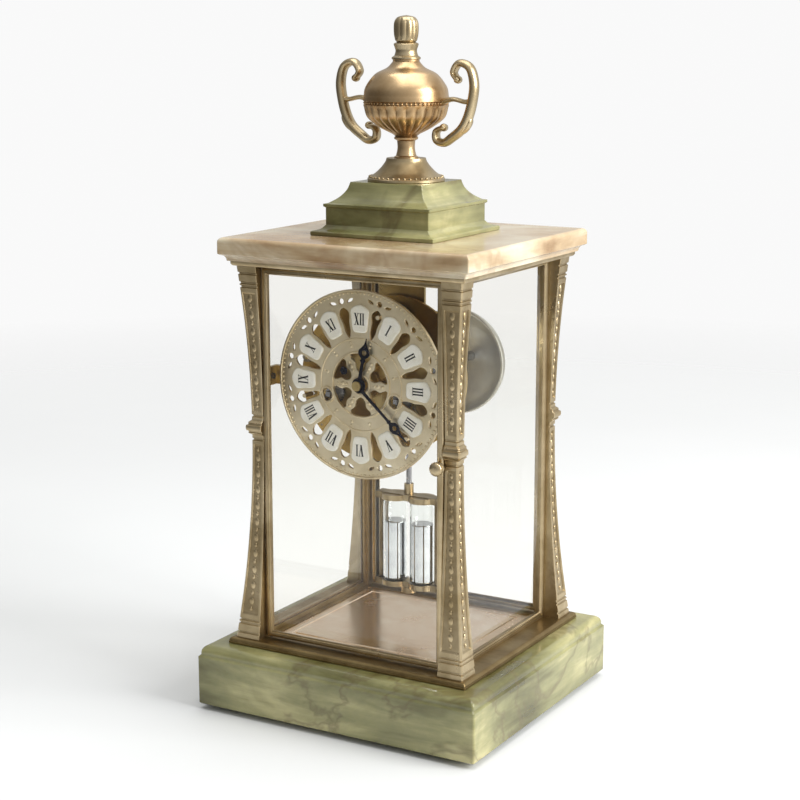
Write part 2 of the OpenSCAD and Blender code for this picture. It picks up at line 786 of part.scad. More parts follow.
module centre_wheel() {
    color(brass) at_centre() {
        arbor([0, 0], 1, minute_hand_y - 1.2, back_y - 0.1);
        arbor([0, 0], pivot_r, back_y - 1, back_back);
        layer(centre_pinion_t) polygon(teeth(12, 6 * second_m, leaf_rises(second_m),
            bearing([0, 0], second_at) + 15));
        layer(centre_wheel_t) difference() {
            polygon(teeth(84, 42 * centre_m, wheel_rises(centre_m), bearing([0, 0], third_at)));
            crossings(42 * centre_m);
        }
    }
}

module third_wheel() {
    train_arbor(third_at, [7, centre_m, [0, 0]], third_pinion_t, [77, third_m, escape_at], third_wheel_t);
}

// Teeth of the escape wheel sit a quarter pitch to either side of both pallets
escape_phase = 90 + 46.2 + 0.25 * 360 / escape_teeth;

module escape_wheel() {
    color(brass) at_centre() {
        arbor(escape_at, arbor_r, front_back + 0.1, back_y - 0.1);
        arbor(escape_at, pivot_r, front_y, back_back);
        layer(escape_pinion_t) translate(escape_at)
            polygon(teeth(7, 3.5 * third_m, leaf_rises(third_m), bearing(escape_at, third_at) + 180 / 7));
        layer(escape_wheel_t) translate(escape_at) difference() {
            polygon(teeth(escape_teeth, escape_r - 1.6, [[-0.1, 0.6], [0, 0.4], [0.9, 0.2], [1.6, 0.08]],
                escape_phase));
            crossings(6.2);
        }
    }
}

// Anchor with its two pallets, its arbor, and the crutch that embraces the pendulum rod
module pallets() {
    color(steel) at_centre() {
        arbor(pallet_at, arbor_r, front_back + 0.1, back_back + 2.8);
        arbor(pallet_at, pivot_r, front_y, front_back + 1);
        slab(front_back + 22, front_back + 23.6) translate(escape_at) {
            intersection() {
                difference() {
                    circle(r = 13.4, $fn = 12);
                    circle(r = 10.6, $fn = 12);
                }
                polygon([[0, 0], 20 * heading(90 + 48), [0, 30], 20 * heading(90 - 48)]);
            }
            for (a = [90 - 46.2, 90 + 46.2]) rotate(a) translate([escape_r + 0.15, 0])
                polygon([[0, -0.15], [0.6, -0.6], [4, -0.9], [4, 0.9], [0.6, 0.6], [0, 0.15]]);
        }
        slab(back_back + 1.3, back_back + 2.1) polygon([[-1.6, 40], [1.6, 40], [1, 5], [3, 5], [3, 3],
            [-3, 3], [-3, 5], [-1, 5]]);
        for (x = [-3, 1.8]) slab(back_back + 1.4, rod_y + 2.4) translate([x, 3]) square([1.2, 2]);
    }
}

// Strike train
module pin_wheel() {
    train_arbor(pin_at, [14, great_m, strike_at], second_pinion_t, [72, pin_m, locking_at], second_wheel_t);
    color(steel) at_centre() for (a = [0 : 36 : 324])
        arbor(pin_at + 10.5 * heading(a + 10), 0.5, front_back + 20.4, front_back + 21.8);
}

module locking_wheel() {
    train_arbor(locking_at, [8, pin_m, pin_at], locking_pinion_t, [60, fly_m, fly_at], locking_wheel_t);
}

module fly() {
    color(brass) at_centre() {
        arbor(fly_at, arbor_r, front_back + 0.1, back_y - 0.1);
        arbor(fly_at, pivot_r, front_y, back_back);
        layer(fly_pinion_t) translate(fly_at)
            polygon(teeth(7, 3.5 * fly_m, leaf_rises(fly_m), bearing(fly_at, locking_at) + 180 / 7));
        slab(front_back + 10.5, front_back + 17.5) translate(fly_at) translate([-4.2, -0.35]) square([8.4, 0.7]);
    }
}

// Hammer: its tail lies beside the pins, its arm and head stand behind the back plate
hammer_tail_a = bearing(hammer_at, pin_at) + 12;

module hammer() {
    color(steel) at_centre() {
        rod(hammer_at, arbor_r, front_back + 0.1, back_back + 2.8);
        rod(hammer_at, pivot_r, front_y, front_back + 1);
        slab(front_back + 20.9, front_back + 21.7) translate(hammer_at) rotate(hammer_tail_a) {
            circle(r = 2);
            translate([0, -0.8]) square([30.3, 1.6]);
        }
        slab(back_back + 1.4, back_back + 2.6) {
            translate(hammer_at) circle(r = 2.4);
            polygon([hammer_at + [-1.2, 0.8], hammer_at + [1.2, -0.8], [-11.4, 3.4], [-13.4, 4.8]]);
        }
        rod([-12.5, 4], 1, back_back + 1.4, 20);
        rod([-12.5, 4], 2.2, 18, 25);
    }
}

module bell() {
    color("lightgray") translate([bell_at[0], 18, bell_at[2]]) rotate([-90, 0, 0]) rotate_extrude()
        polygon(concat([for (a = [0 : 6 : 84]) [bell_r * cos(a), 20 * sin(a)]], [[2 + gap, 20], [2 + gap, 18.6]],
            [for (a = [84 : -6 : 0]) [(bell_r - 1.4) * cos(a), 18.6 * sin(a)]]));
}

module bell_stand() {
    color(steel) {
        p = [bell_at[0], bell_at[2]];
        rod(p, 2.8, back_back, 36.4);
        rod(p, 1.5, back_y, back_back + 1);
        rod(p, 2, 36, 42.4);
        difference() {
            translate([p[0], 40.4, p[1]]) rotate([90, 0, 0]) cylinder(r = 4, h = 2.4, $fn = 6);
            rod(p, 1.5, 36, 44);
        }
    }
}

// Pendulum: hung from the cock on a short spring
module suspension_cock() {
    color(brass) at_centre() difference() {
        union() {
            for (x = [-14, 8]) translate([x, back_back, 30]) cube([6, 3.2, 7]);
            translate([-14, back_back + 3.2, 30]) cube([28, 1.6, 18]);
            translate([-4, back_back + 4, 40]) cube([8, 12, 8]);
        }
        translate([-5, rod_y - 0.4, 39]) cube([10, 0.8, 5.5]);
    }
    color(steel) at_centre() for (x = [-11, 11]) {
        rod([x, 33.5], 1, back_y, back_back);
    }
}

module pendulum_rod() {
    color(steel) at_centre() {
        translate([-2.5, rod_y - 0.1, 33]) cube([5, 0.2, 10.5]);
        rod([0, 33.2], 2.2, rod_y - 1.6, rod_y + 1.6);
    }
    color(steel) translate([0, rod_y, 115]) cylinder(r = 1.5, h = centre_z + 32 - 115);
}

module jar_frame() {
    color(gilt) translate([0, rod_y, 0]) {
        for (z = [jar_z - 3.5, jar_z + jar_h]) difference() {
            translate([-19, -3.5, z]) cube([38, 7, 3.5]);
            translate([0, 0, z - 1]) cylinder(r = 1, h = 0.5);
        }
        for (x = [-1, 1]) {
            translate([x * 17.4, 0, jar_z - 0.1]) cylinder(r = 1.2, h = jar_h + 0.2);
            translate([x * jar_gap / 2, 0, jar_z + jar_h]) cylinder(r = 7.6, h = 3);
            translate([x * jar_gap / 2, 0, jar_z - 3]) cylinder(r = 7.6, h = 3);
        }
        translate([0, 0, jar_z + jar_h + 3.4]) cylinder(r = 2.6, h = 6);
        translate([0, 0, jar_z - 6.5]) cylinder(r = 4.2, h = 3.2);
    }
}

module jars() {
    color("aliceblue", 0.4) translate([0, rod_y, jar_z]) for (x = [-1, 1]) translate([x * jar_gap / 2, 0, 0])
        difference() {
            cylinder(r = jar_r, h = jar_h);
            translate([0, 0, 1]) cylinder(r = jar_r - 0.8, h = jar_h);
        }
}

module mercury() {
    color("silver") translate([0, rod_y, jar_z + 1]) for (x = [-1, 1]) translate([x * jar_gap / 2, 0, 0])
        cylinder(r = jar_r - 0.8, h = jar_h - 13);
}

base_plinth();
base_feet();
case_screws();
base_rail();
floor_plate();
post_front_left();
post_front_right();
post_back_left();
post_back_right();
top_rail();
top_plate();
dome_block();
finial_socle();
finial_urn();
finial_handles();
finial_knob();
front_door_frame();
front_glass();
front_latch();
rear_door_frame();
rear_glass();
rear_latch();
side_frames();
side_glasses();
movement_brackets();
movement_screws();
front_plate();
back_plate();
plate_pillars();
dial_ring();
dial_plaques();
hour_hand();
minute_hand();
cannon_pinion();
minute_wheel();
hour_wheel();
going_barrel();
going_arbor();
going_mainspring();
going_click();
strike_barrel();
strike_arbor();
strike_mainspring();
strike_click();
intermediate_wheel();
centre_wheel();
third_wheel();
escape_wheel();
pallets();
pin_wheel();
locking_wheel();
fly();
hammer();
bell();
bell_stand();
suspension_cock();
pendulum_rod();
jar_frame();
jars();
mercury();
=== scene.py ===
"""A glass-sided mantel clock in green onyx and gilt brass: its looks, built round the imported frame."""

import json
import math

import bmesh
import bpy
from mathutils import Matrix, Vector


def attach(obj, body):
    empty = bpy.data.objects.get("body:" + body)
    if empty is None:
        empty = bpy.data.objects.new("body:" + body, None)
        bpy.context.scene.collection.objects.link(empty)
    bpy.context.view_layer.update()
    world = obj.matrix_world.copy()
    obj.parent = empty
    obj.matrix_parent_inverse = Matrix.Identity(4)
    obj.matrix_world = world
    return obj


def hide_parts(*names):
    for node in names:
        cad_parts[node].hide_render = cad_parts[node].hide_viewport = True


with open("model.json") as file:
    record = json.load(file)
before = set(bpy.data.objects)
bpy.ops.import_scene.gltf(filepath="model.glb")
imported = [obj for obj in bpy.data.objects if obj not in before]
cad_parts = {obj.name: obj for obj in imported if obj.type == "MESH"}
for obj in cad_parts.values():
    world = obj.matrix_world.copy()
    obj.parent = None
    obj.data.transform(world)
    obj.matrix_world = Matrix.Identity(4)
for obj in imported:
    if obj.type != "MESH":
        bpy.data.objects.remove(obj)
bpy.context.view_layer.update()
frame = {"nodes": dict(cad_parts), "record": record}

MM = 0.001
RECORD = frame["record"]
BODY_OF = {n: b for b, members in RECORD["behaviour"]["bodies"].items() for n in members}
SLOT_OF = {row["node"]: row["material_slot"] for row in RECORD["subparts"]}
FULL = 2 * math.pi


# ---------------------------------------------------------------- shader helpers

def shade(r, g, b):
    """An sRGB colour, 0 to 255, as Blender's linear colour."""
    linear = [v / 255 / 12.92 if v <= 10 else ((v / 255 + 0.055) / 1.055) ** 2.4 for v in (r, g, b)]
    return (*linear, 1.0)


class Shader:
    """One material's node tree, with short calls to add and join nodes."""

    def __init__(self, name):
        self.material = bpy.data.materials.new(name)
        self.material.use_nodes = True
        self.tree = self.material.node_tree
        self.main = self.tree.nodes["Principled BSDF"]
        self.output = self.tree.nodes["Material Output"]

    def add(self, kind, values=None, **settings):
        node = self.tree.nodes.new("ShaderNode" + kind)
        for key, value in settings.items():
            setattr(node, key, value)
        for key, value in (values or {}).items():
            node.inputs[key].default_value = value
        return node

    def join(self, source, target):
        self.tree.links.new(source, target)

    def set(self, **values):
        for key, value in values.items():
            self.main.inputs[key.replace("_", " ")].default_value = value

    def place(self, scale=(1, 1, 1), turn=(0, 0, 0)):
        coordinates = self.add("TexCoord")
        mapping = self.add("Mapping", {"Scale": scale, "Rotation": turn})
        self.join(coordinates.outputs["Object"], mapping.inputs["Vector"])
        return mapping.outputs["Vector"]

    def noise(self, where, scale, detail=4.0, rough=0.5, distortion=0.0):
        node = self.add("TexNoise", {"Scale": scale, "Detail": detail, "Roughness": rough,
                                     "Distortion": distortion})
        self.join(where, node.inputs["Vector"])
        return node.outputs["Fac"]

    def ramp(self, value, stops):
        node = self.add("ValToRGB")
        elements = node.color_ramp.elements
        while len(elements) < len(stops):
            elements.new(0.5)
        for element, (at, colour) in zip(elements, stops):
            element.position = at
            element.color = colour
        self.join(value, node.inputs["Fac"])
        return node.outputs["Color"]

    def span(self, value, low, high, out_low, out_high):
        node = self.add("MapRange", {"From Min": low, "From Max": high, "To Min": out_low,
                                     "To Max": out_high})
        self.join(value, node.inputs["Value"])
        return node.outputs["Result"]

    def bump(self, height, strength, distance):
        node = self.add("Bump", {"Strength": strength, "Distance": distance})
        self.join(height, node.inputs["Height"])
        self.join(node.outputs["Normal"], self.main.inputs["Normal"])


def colour_mix(shader, share, a, b, blend="MIX"):
    """A colour Mix node, whose colour sockets are the ones of type RGBA."""
    node = shader.add("Mix", data_type="RGBA", blend_type=blend)
    factor = next(s for s in node.inputs if s.identifier == "Factor_Float")
    first = next(s for s in node.inputs if s.identifier == "A_Color")
    second = next(s for s in node.inputs if s.identifier == "B_Color")
    for socket, value in ((factor, share), (first, a), (second, b)):
        if isinstance(value, bpy.types.NodeSocket):
            shader.join(value, socket)
        else:
            socket.default_value = value
    return next(s for s in node.outputs if s.identifier == "Result_Color")


# ---------------------------------------------------------------- materials

def onyx(name, colours, vein, vein_share, turn):
    """Polished banded onyx: soft cloudy colour, fine level strata and a few wandering veins."""
    s = Shader(name)
    where = s.place(turn=turn)
    cloud = s.noise(where, 11, 7, 0.55, 0.9)
    strata = s.noise(s.place(scale=(0.13, 0.13, 1), turn=turn), 110, 5, 0.6, 0.6)
    patch = s.noise(s.place(scale=(0.5, 0.5, 1.6), turn=turn), 26, 3, 0.5, 0.8)
    tone = colour_mix(s, 0.4, colour_mix(s, 0.45, cloud, strata), patch)
    stops = [(0.38 + 0.24 * i / (len(colours) - 1), c) for i, c in enumerate(colours)]
    base = s.ramp(tone, stops)
    line = s.noise(where, 7, 5, 0.55, 1.4)
    veins = s.ramp(line, [(0.47, (0, 0, 0, 1)), (0.492, (vein_share,) * 3 + (1,)), (0.515, (0, 0, 0, 1))])
    veined = colour_mix(s, veins, base, vein)
    speck = s.noise(where, 300, 3, 0.6)
    s.join(colour_mix(s, 0.10, veined, s.ramp(speck, [(0.3, colours[0]), (0.7, colours[-1])]), "OVERLAY"),
           s.main.inputs["Base Color"])
    s.join(s.span(cloud, 0.3, 0.7, 0.26, 0.15), s.main.inputs["Roughness"])
    s.bump(s.noise(where, 420, 2, 0.5), 0.03, 0.0004)
    s.set(Coat_Weight=0.35, Coat_Roughness=0.08, Specular_IOR_Level=0.5,
          Subsurface_Weight=0.1, Subsurface_Scale=0.004)
    s.main.inputs["Subsurface Radius"].default_value = (1.0, 0.9, 0.6)
    return s.material


def brass(name, bright, dull, dark, rough, grain=(1, 1, 1), patina_and_shade=0.5, relief=0.12):
    """Brass with cloudy patinated stains, hollows darkened by painted shade as well as patination, and a fine
    grain.
    """
    s = Shader(name)
    where = s.place()
    cloud = s.noise(where, 45, 6, 0.6, 0.4)
    tone = s.ramp(cloud, [(0.34, dull), (0.62, bright)])
    geometry = s.add("NewGeometry")
    # painted shade: hollows (low pointiness) are darkened towards the dark colour, standing for shade in
    # recesses as well as patination
    hollow = s.ramp(geometry.outputs["Pointiness"], [(0.40, (patina_and_shade,) * 3 + (1,)), (0.50, (0, 0, 0, 1))])
    aged_and_shaded = colour_mix(s, hollow, tone, dark)
    stain = s.ramp(s.noise(where, 14, 4, 0.6), [(0.55, (0, 0, 0, 1)), (0.75, (0.35 * patina_and_shade,) * 3 + (1,))])
    s.join(colour_mix(s, stain, aged_and_shaded, dark), s.main.inputs["Base Color"])
    fine = s.noise(s.place(scale=grain), 900, 3, 0.6)
    s.join(s.span(cloud, 0.3, 0.7, rough + 0.1, rough - 0.05), s.main.inputs["Roughness"])
    s.bump(fine, relief, 0.0003)
    s.set(Metallic=1.0)
    return s.material


def metal(name, light, dark, rough, grain=(1, 1, 1), bump=0.08):
    """Plain metal with a slight variation of tone and a fine grain."""
    s = Shader(name)
    where = s.place()
    cloud = s.noise(where, 60, 5, 0.6)
    s.join(s.ramp(cloud, [(0.35, dark), (0.65, light)]), s.main.inputs["Base Color"])
    s.join(s.span(cloud, 0.3, 0.7, rough + 0.06, rough - 0.04), s.main.inputs["Roughness"])
    s.bump(s.noise(s.place(scale=grain), 1100, 3, 0.6), bump, 0.0002)
    s.set(Metallic=1.0)
    return s.material


def enamel():
    """Glossy cream enamel with a faint unevenness of colour and surface."""
    s = Shader("enamel")
    where = s.place()
    s.join(s.ramp(s.noise(where, 180, 5, 0.6), [(0.3, shade(238, 233, 216)), (0.7, shade(252, 250, 243))]),
           s.main.inputs["Base Color"])
    s.join(s.span(s.noise(where, 400, 2), 0.3, 0.7, 0.12, 0.2), s.main.inputs["Roughness"])
    s.bump(s.noise(where, 320, 2), 0.05, 0.0004)
    s.set(Coat_Weight=0.6, Coat_Roughness=0.05)
    return s.material


def ink():
    """Dark fired paint of the numerals."""
    s = Shader("numeral_paint")
    where = s.place()
    s.join(s.ramp(s.noise(where, 500, 3), [(0.3, shade(24, 22, 24)), (0.7, shade(44, 40, 38))]),
           s.main.inputs["Base Color"])
    s.join(s.span(s.noise(where, 300, 2), 0.3, 0.7, 0.25, 0.4), s.main.inputs["Roughness"])
    return s.material


def pane_glass():
    """A clear pane: see-through, with a mirror share that grows at a slant, and faint cleaning marks."""
    s = Shader("pane_glass")
    where = s.place()
    see = s.add("BsdfTransparent", {"Color": (0.992, 0.990, 0.980, 1)})
    mirror = s.add("BsdfGlossy", {"Color": (1, 1, 1, 1), "Roughness": 0.02})
    fresnel = s.add("Fresnel", {"IOR": 1.45})
    # only the side that faces the viewer mirrors, so that a pane never goes dark from within
    back = s.add("NewGeometry")
    share = s.add("Math", operation="MULTIPLY")
    s.join(fresnel.outputs["Fac"], share.inputs[0])
    s.join(s.span(back.outputs["Backfacing"], 0, 1, 1, 0), share.inputs[1])
    marks = s.span(s.noise(where, 30, 5, 0.6), 0.4, 0.8, 0.01, 0.05)
    s.join(marks, mirror.inputs["Roughness"])
    blend = s.add("MixShader")
    s.join(share.outputs["Value"], blend.inputs["Fac"])
    s.join(see.outputs["BSDF"], blend.inputs[1])
    s.join(mirror.outputs["BSDF"], blend.inputs[2])
    s.tree.nodes.remove(s.main)
    s.join(blend.outputs["Shader"], s.output.inputs["Surface"])
    return s.material


def jar_glass():
    """Clear jar glass with soft waves, which lets lamps through."""
    s = Shader("jar_glass")
    where = s.place()
    s.set(Roughness=0.02, IOR=1.45, Transmission_Weight=1.0)
    s.main.inputs["Base Color"].default_value = (0.97, 0.985, 0.98, 1)
    s.bump(s.noise(where, 90, 2), 0.05, 0.0004)
    see = s.add("BsdfTransparent", {"Color": (0.93, 0.95, 0.94, 1)})
    path = s.add("LightPath")
    blend = s.add("MixShader")
    s.join(path.outputs["Is Shadow Ray"], blend.inputs["Fac"])
    s.join(s.main.outputs["BSDF"], blend.inputs[1])
    s.join(see.outputs["BSDF"], blend.inputs[2])
    s.join(blend.outputs["Shader"], s.output.inputs["Surface"])
    return s.material


def mercury():
    """Liquid metal: a mirror with the slightest ripple."""
    s = Shader("mercury")
    where = s.place()
    s.join(s.ramp(s.noise(where, 70, 2), [(0.3, shade(205, 206, 210)), (0.7, shade(232, 232, 235))]),
           s.main.inputs["Base Color"])
    s.join(s.span(s.noise(where, 120, 2), 0.3, 0.7, 0.03, 0.08), s.main.inputs["Roughness"])
    s.bump(s.noise(where, 140, 1), 0.04, 0.0005)
    s.set(Metallic=1.0)
    return s.material


def felt():
    """Dark felt with a matted nap."""
    s = Shader("foot_felt")
    where = s.place()
    nap = s.noise(where, 1400, 5, 0.7)
    s.join(s.ramp(nap, [(0.3, shade(38, 44, 34)), (0.7, shade(74, 80, 62))]), s.main.inputs["Base Color"])
    s.join(s.span(nap, 0.3, 0.7, 0.85, 1.0), s.main.inputs["Roughness"])
    s.bump(nap, 0.5, 0.0006)
    s.set(Sheen_Weight=0.4)
    return s.material


GREENS = [shade(78, 74, 36), shade(104, 102, 60), shade(128, 126, 84), shade(149, 146, 100),
          shade(182, 175, 128)]
PALES = [shade(146, 118, 84), shade(176, 152, 118), shade(194, 176, 146), shade(208, 196, 170),
         shade(220, 210, 188)]

MATERIALS = {
    "onyx": onyx("onyx", GREENS, shade(88, 74, 42), 0.5, (0.05, 0.09, 0.6)),
    "pale_onyx": onyx("pale_onyx", PALES, shade(146, 112, 76), 0.35, (0.04, 0.06, 0.2)),
    "gilt_brass": brass("gilt_brass", shade(196, 178, 144), shade(160, 141, 106), shade(78, 60, 34),
                        0.3, patina_and_shade=0.65),
    "polished_brass": brass("polished_brass", shade(246, 226, 202), shade(238, 212, 184),
                            shade(170, 136, 104), 0.2, patina_and_shade=0.08, relief=0.02),
    "movement_brass": brass("movement_brass", shade(210, 186, 132), shade(180, 156, 104), shade(84, 68, 38),
                            0.28, grain=(1, 1, 9), patina_and_shade=0.4),
    "steel": metal("steel", shade(186, 186, 188), shade(142, 142, 146), 0.26, grain=(1, 1, 6)),
    "blued_steel": metal("blued_steel", shade(42, 43, 56), shade(22, 22, 30), 0.28, bump=0.03),
    "bell_metal": metal("bell_metal", shade(232, 232, 222), shade(212, 210, 198), 0.36),
    "enamel": enamel(),
    "glass": pane_glass(),
    "mercury": mercury(),
    "foot_felt": felt(),
}
INK = ink()
JAR_GLASS = jar_glass()
# painted shade: a darker copy of the gilt brass, whose colour stands for the shadow line along the lower rail
SHADED_BRASS = brass("shaded_brass", shade(150, 130, 90), shade(116, 96, 62), shade(60, 46, 26), 0.34)
PALE_GILT = brass("pale_gilt", shade(240, 226, 196), shade(216, 200, 166), shade(116, 96, 62), 0.36)
# a warmer tone of the gilt, made darker and with stronger hollow darkening as painted shade for the urn's
# shaded underside
WARM_SHADED_GILT = brass("warm_shaded_gilt", shade(204, 176, 136), shade(166, 134, 94), shade(64, 42, 20), 0.3, patina_and_shade=0.8)


# ---------------------------------------------------------------- mesh helpers, all in millimetres

def node_points(node):
    """A CAD node's vertices in millimetres."""
    return [Vector([c / MM for c in v.co]) for v in frame["nodes"][node].data.vertices]


def extent(node):
    """A CAD node's lowest and highest corner."""
    points = node_points(node)
    return tuple(Vector([pick(p[i] for p in points) for i in range(3)]) for pick in (min, max))


def middle(node):
    low, high = extent(node)
    return (low + high) / 2


def height(node):
    low, high = extent(node)
    return high.z - low.z


SHARP_ANGLE = math.radians(32)


def piece(name, bm, stands_for, material=None):
    """Finishes a mesh: it rides with the body of the CAD node it stands for and takes its place."""
    bmesh.ops.scale(bm, vec=(MM, MM, MM), verts=bm.verts)
    bmesh.ops.recalc_face_normals(bm, faces=bm.faces)
    mesh = bpy.data.meshes.new(name)
    bm.to_mesh(mesh)
    bm.free()
    mesh.shade_smooth()
    mesh.set_sharp_from_angle(angle=SHARP_ANGLE)
    obj = bpy.data.objects.new(name, mesh)
    bpy.context.scene.collection.objects.link(obj)
    # flat faces keep flat shading beside their rounded edges
    obj.modifiers.new("even", "WEIGHTED_NORMAL").keep_sharp = True
    slot = SLOT_OF[stands_for]
    mesh.materials.append(material or MATERIALS[slot])
    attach(obj, BODY_OF[stands_for])
    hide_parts(stands_for)


def soften(obj, width):
    """Rounds an object's sharp edges a little."""
    edge = obj.modifiers.new("edge", "BEVEL")
    edge.width = width * MM
    edge.segments = 2
    edge.limit_method = "ANGLE"
    edge.angle_limit = math.radians(35)


def curve(points, steps=4):
    """A smooth curve through the given points."""
    path = []
    last = len(points) - 1
    for i in range(last):
        a, b, c, d = (Vector(points[j]) for j in (max(i - 1, 0), i, i + 1, min(i + 2, last)))
        for k in range(steps):
            t = k / steps
            path.append(0.5 * (2 * b + (c - a) * t + (2 * a - 5 * b + 4 * c - d) * t * t
                               + (3 * b - a - 3 * c + d) * t ** 3))
    return path + [Vector(points[last])]


def closed(points, steps=5):
    """A smooth closed outline through the given points."""
    ring = curve([points[-1]] + list(points) + list(points[:2]), steps)
    return ring[steps:-steps - 1]


def skin(bm, rings, loop=False):
    """Joins rings of points into a tube, capped at its ends or joined end to end."""
    made = [[bm.verts.new(p) for p in ring] for ring in rings]
    for low, high in zip(made, made[1:] + made[:1] if loop else made[1:]):
        for i in range(len(low)):
            j = (i + 1) % len(low)
            bm.faces.new((low[i], low[j], high[j], high[i]))
    if not loop:
        bm.faces.new(made[0])
        bm.faces.new(made[-1])


UPRIGHT = Matrix.Identity(3)
FORWARD = Matrix(((1, 0, 0), (0, 0, -1), (0, 1, 0)))


def lathe(bm, profile, at=(0, 0, 0), pose=UPRIGHT, segments=96, swell=None):
    """Turns a profile of (radius, height); swell(angle, height) may scale the radius."""
    rows = []
    for radius, height in profile:
        row = []
        for i in range(segments if radius > 1e-6 else 1):
            a = FULL * i / segments
            r = radius * (swell(a, height) if swell else 1)
            row.append(bm.verts.new(Vector(at) + pose @ Vector((r * math.cos(a), r * math.sin(a), height))))
        rows.append(row)
    for low, high in zip(rows, rows[1:]):
        for i in range(segments):
            j = (i + 1) % segments
            corners = (low[i % len(low)], low[j % len(low)], high[j % len(high)], high[i % len(high)])
            face = [v for k, v in enumerate(corners) if v not in corners[:k]]
            if len(face) > 2:
                bm.faces.new(face)


def lathe_ring(bm, profile, at=(0, 0, 0), pose=UPRIGHT, segments=96):
    """The same for a profile that closes on itself away from the axis."""
    rings = []
    for radius, height in profile:
        rings.append([Vector(at) + pose @ Vector((radius * math.cos(FULL * i / segments),
                                                  radius * math.sin(FULL * i / segments), height))
                      for i in range(segments)])
    skin(bm, rings, loop=True)


def rounded(half_x, half_y, corner, z, steps=5):
    """A rectangle with rounded corners at one level."""
    ring = []
    for q, (sx, sy) in enumerate(((1, 1), (-1, 1), (-1, -1), (1, -1))):
        for k in range(steps + 1):
            a = (q + k / steps) * math.pi / 2
            ring.append(Vector((sx * (half_x - corner) + corner * math.cos(a),
                                sy * (half_y - corner) + corner * math.sin(a), z)))
    return ring


def bead(bm, at, size):
    """A small rounded bead with three half axes."""
    place = Matrix.Translation(Vector(at)) @ Matrix.Diagonal((*size, 1))
    bmesh.ops.create_icosphere(bm, subdivisions=2, radius=1, matrix=place)


def tube(bm, path, width, depth, sides=16):
    """A rounded bar along a path in the front plane; width(t) is its half width and depth its half depth."""
    rings = []
    last = len(path) - 1
    for i, p in enumerate(path):
        along = (path[min(i + 1, last)] - path[max(i - 1, 0)]).normalized()
        across = Vector((-along.z, 0, along.x))
        half = width(i / last)
        deep = Vector((0, depth * min(1, half), 0))
        rings.append([p + half * math.cos(a) * across + math.sin(a) * deep
                      for a in (FULL * k / sides for k in range(sides))])
    skin(bm, rings)


def cut_plate(bm, outlines, thick, edge, to_place):
    """A plate cut along outlines, the first its edge and the rest holes, with a rounded edge."""
    data = bpy.data.curves.new("cut", "CURVE")
    data.dimensions = "2D"
    data.fill_mode = "BOTH"
    data.extrude = thick / 2 - edge
    data.bevel_depth = edge
    data.bevel_resolution = 1
    data.offset = -edge
    for outline in outlines:
        spline = data.splines.new("POLY")
        spline.points.add(len(outline) - 1)
        for point, (u, v) in zip(spline.points, outline):
            point.co = (u, v, 0, 1)
        spline.use_cyclic_u = True
    holder = bpy.data.objects.new("cut", data)
    mesh = bpy.data.meshes.new_from_object(holder)
    part = bmesh.new()
    part.from_mesh(mesh)
    bmesh.ops.remove_doubles(part, verts=part.verts, dist=1e-4)
    for v in part.verts:
        v.co = to_place(v.co.x, v.co.y, v.co.z)
    part.to_mesh(mesh)
    part.free()
    bm.from_mesh(mesh)
    bpy.data.objects.remove(holder)
    bpy.data.meshes.remove(mesh)
    bpy.data.curves.remove(data)


def circle(radius, at=(0, 0), steps=48):
    return [(at[0] + radius * math.cos(FULL * i / steps), at[1] + radius * math.sin(FULL * i / steps))
            for i in range(steps)]


def polar(radius, degrees):
    return (radius * math.cos(math.radians(degrees)), radius * math.sin(math.radians(degrees)))


# ---------------------------------------------------------------- the case

def arc(inset, z, r, steps=8):
    """A quarter round at the top of a moulding."""
    return [(inset - r * math.cos(a), z + r * math.sin(a))
            for a in (math.pi / 2 * k / steps for k in range(steps + 1))]


HOLE_CORNER = 0.4


def moulded(name, node, outline, corner, hole=None, material=None):
    """A block with a moulded edge: outline gives inset and height above its foot; hole is its opening."""
    low, high = extent(node)
    half = (high - low) / 2
    rings = [rounded(half.x - inset, half.y - inset, corner, low.z + z) for inset, z in outline]
    if hole:
        rings += [rounded(*hole, HOLE_CORNER, low.z + z) for z in (outline[-1][1], outline[0][1])]
    bm = bmesh.new()
    skin(bm, rings, loop=bool(hole))
    piece(name, bm, node, material)


def make_plinth():
    """The base: a square-edged slab whose top edge steps in and rounds over."""
    tall = height("base_plinth")
    step = 1.2
    round_r = 4
    edge = [(0.7, 0), (0, 0.7), (0, tall - 6.2), (0.35, tall - 5.9), (step, tall - 5.1), (step, tall - 4.4)]
    moulded("plinth", "base_plinth", edge + arc(step + round_r, tall - round_r, round_r), 1.2)


def make_upper_slab():
    """The top plate: an ogee under its edge and a rounded top."""
    tall = height("top_plate")
    round_r = 2.5
    ogee = [(3.5, 0)] + curve([(3.3, 1.2), (2.4, 2.6), (0.6, 3.3), (0, 3.8)])
    moulded("upper_slab", "top_plate", ogee + [(0, tall - 3.2)] + arc(round_r, tall - round_r, round_r), 0.8)


def make_finial_block():
    """The block under the finial: a footed drum with a hollow roof."""
    tall = height("dome_block")
    foot = [(0.4, 0), (0, 0.4), (0, 2)] + curve([(0.6, 2.4), (4, 3.4), (6, 5.5)], 6)
    lip = [(6, 14.4), (5, 15.1), (5, 16.4)]
    roof = curve([(7, 16.8), (11, 19.6), (14, 23.4), (15.4, tall)], 6)
    moulded("finial_block", "dome_block", foot + lip + roof, 0.6)


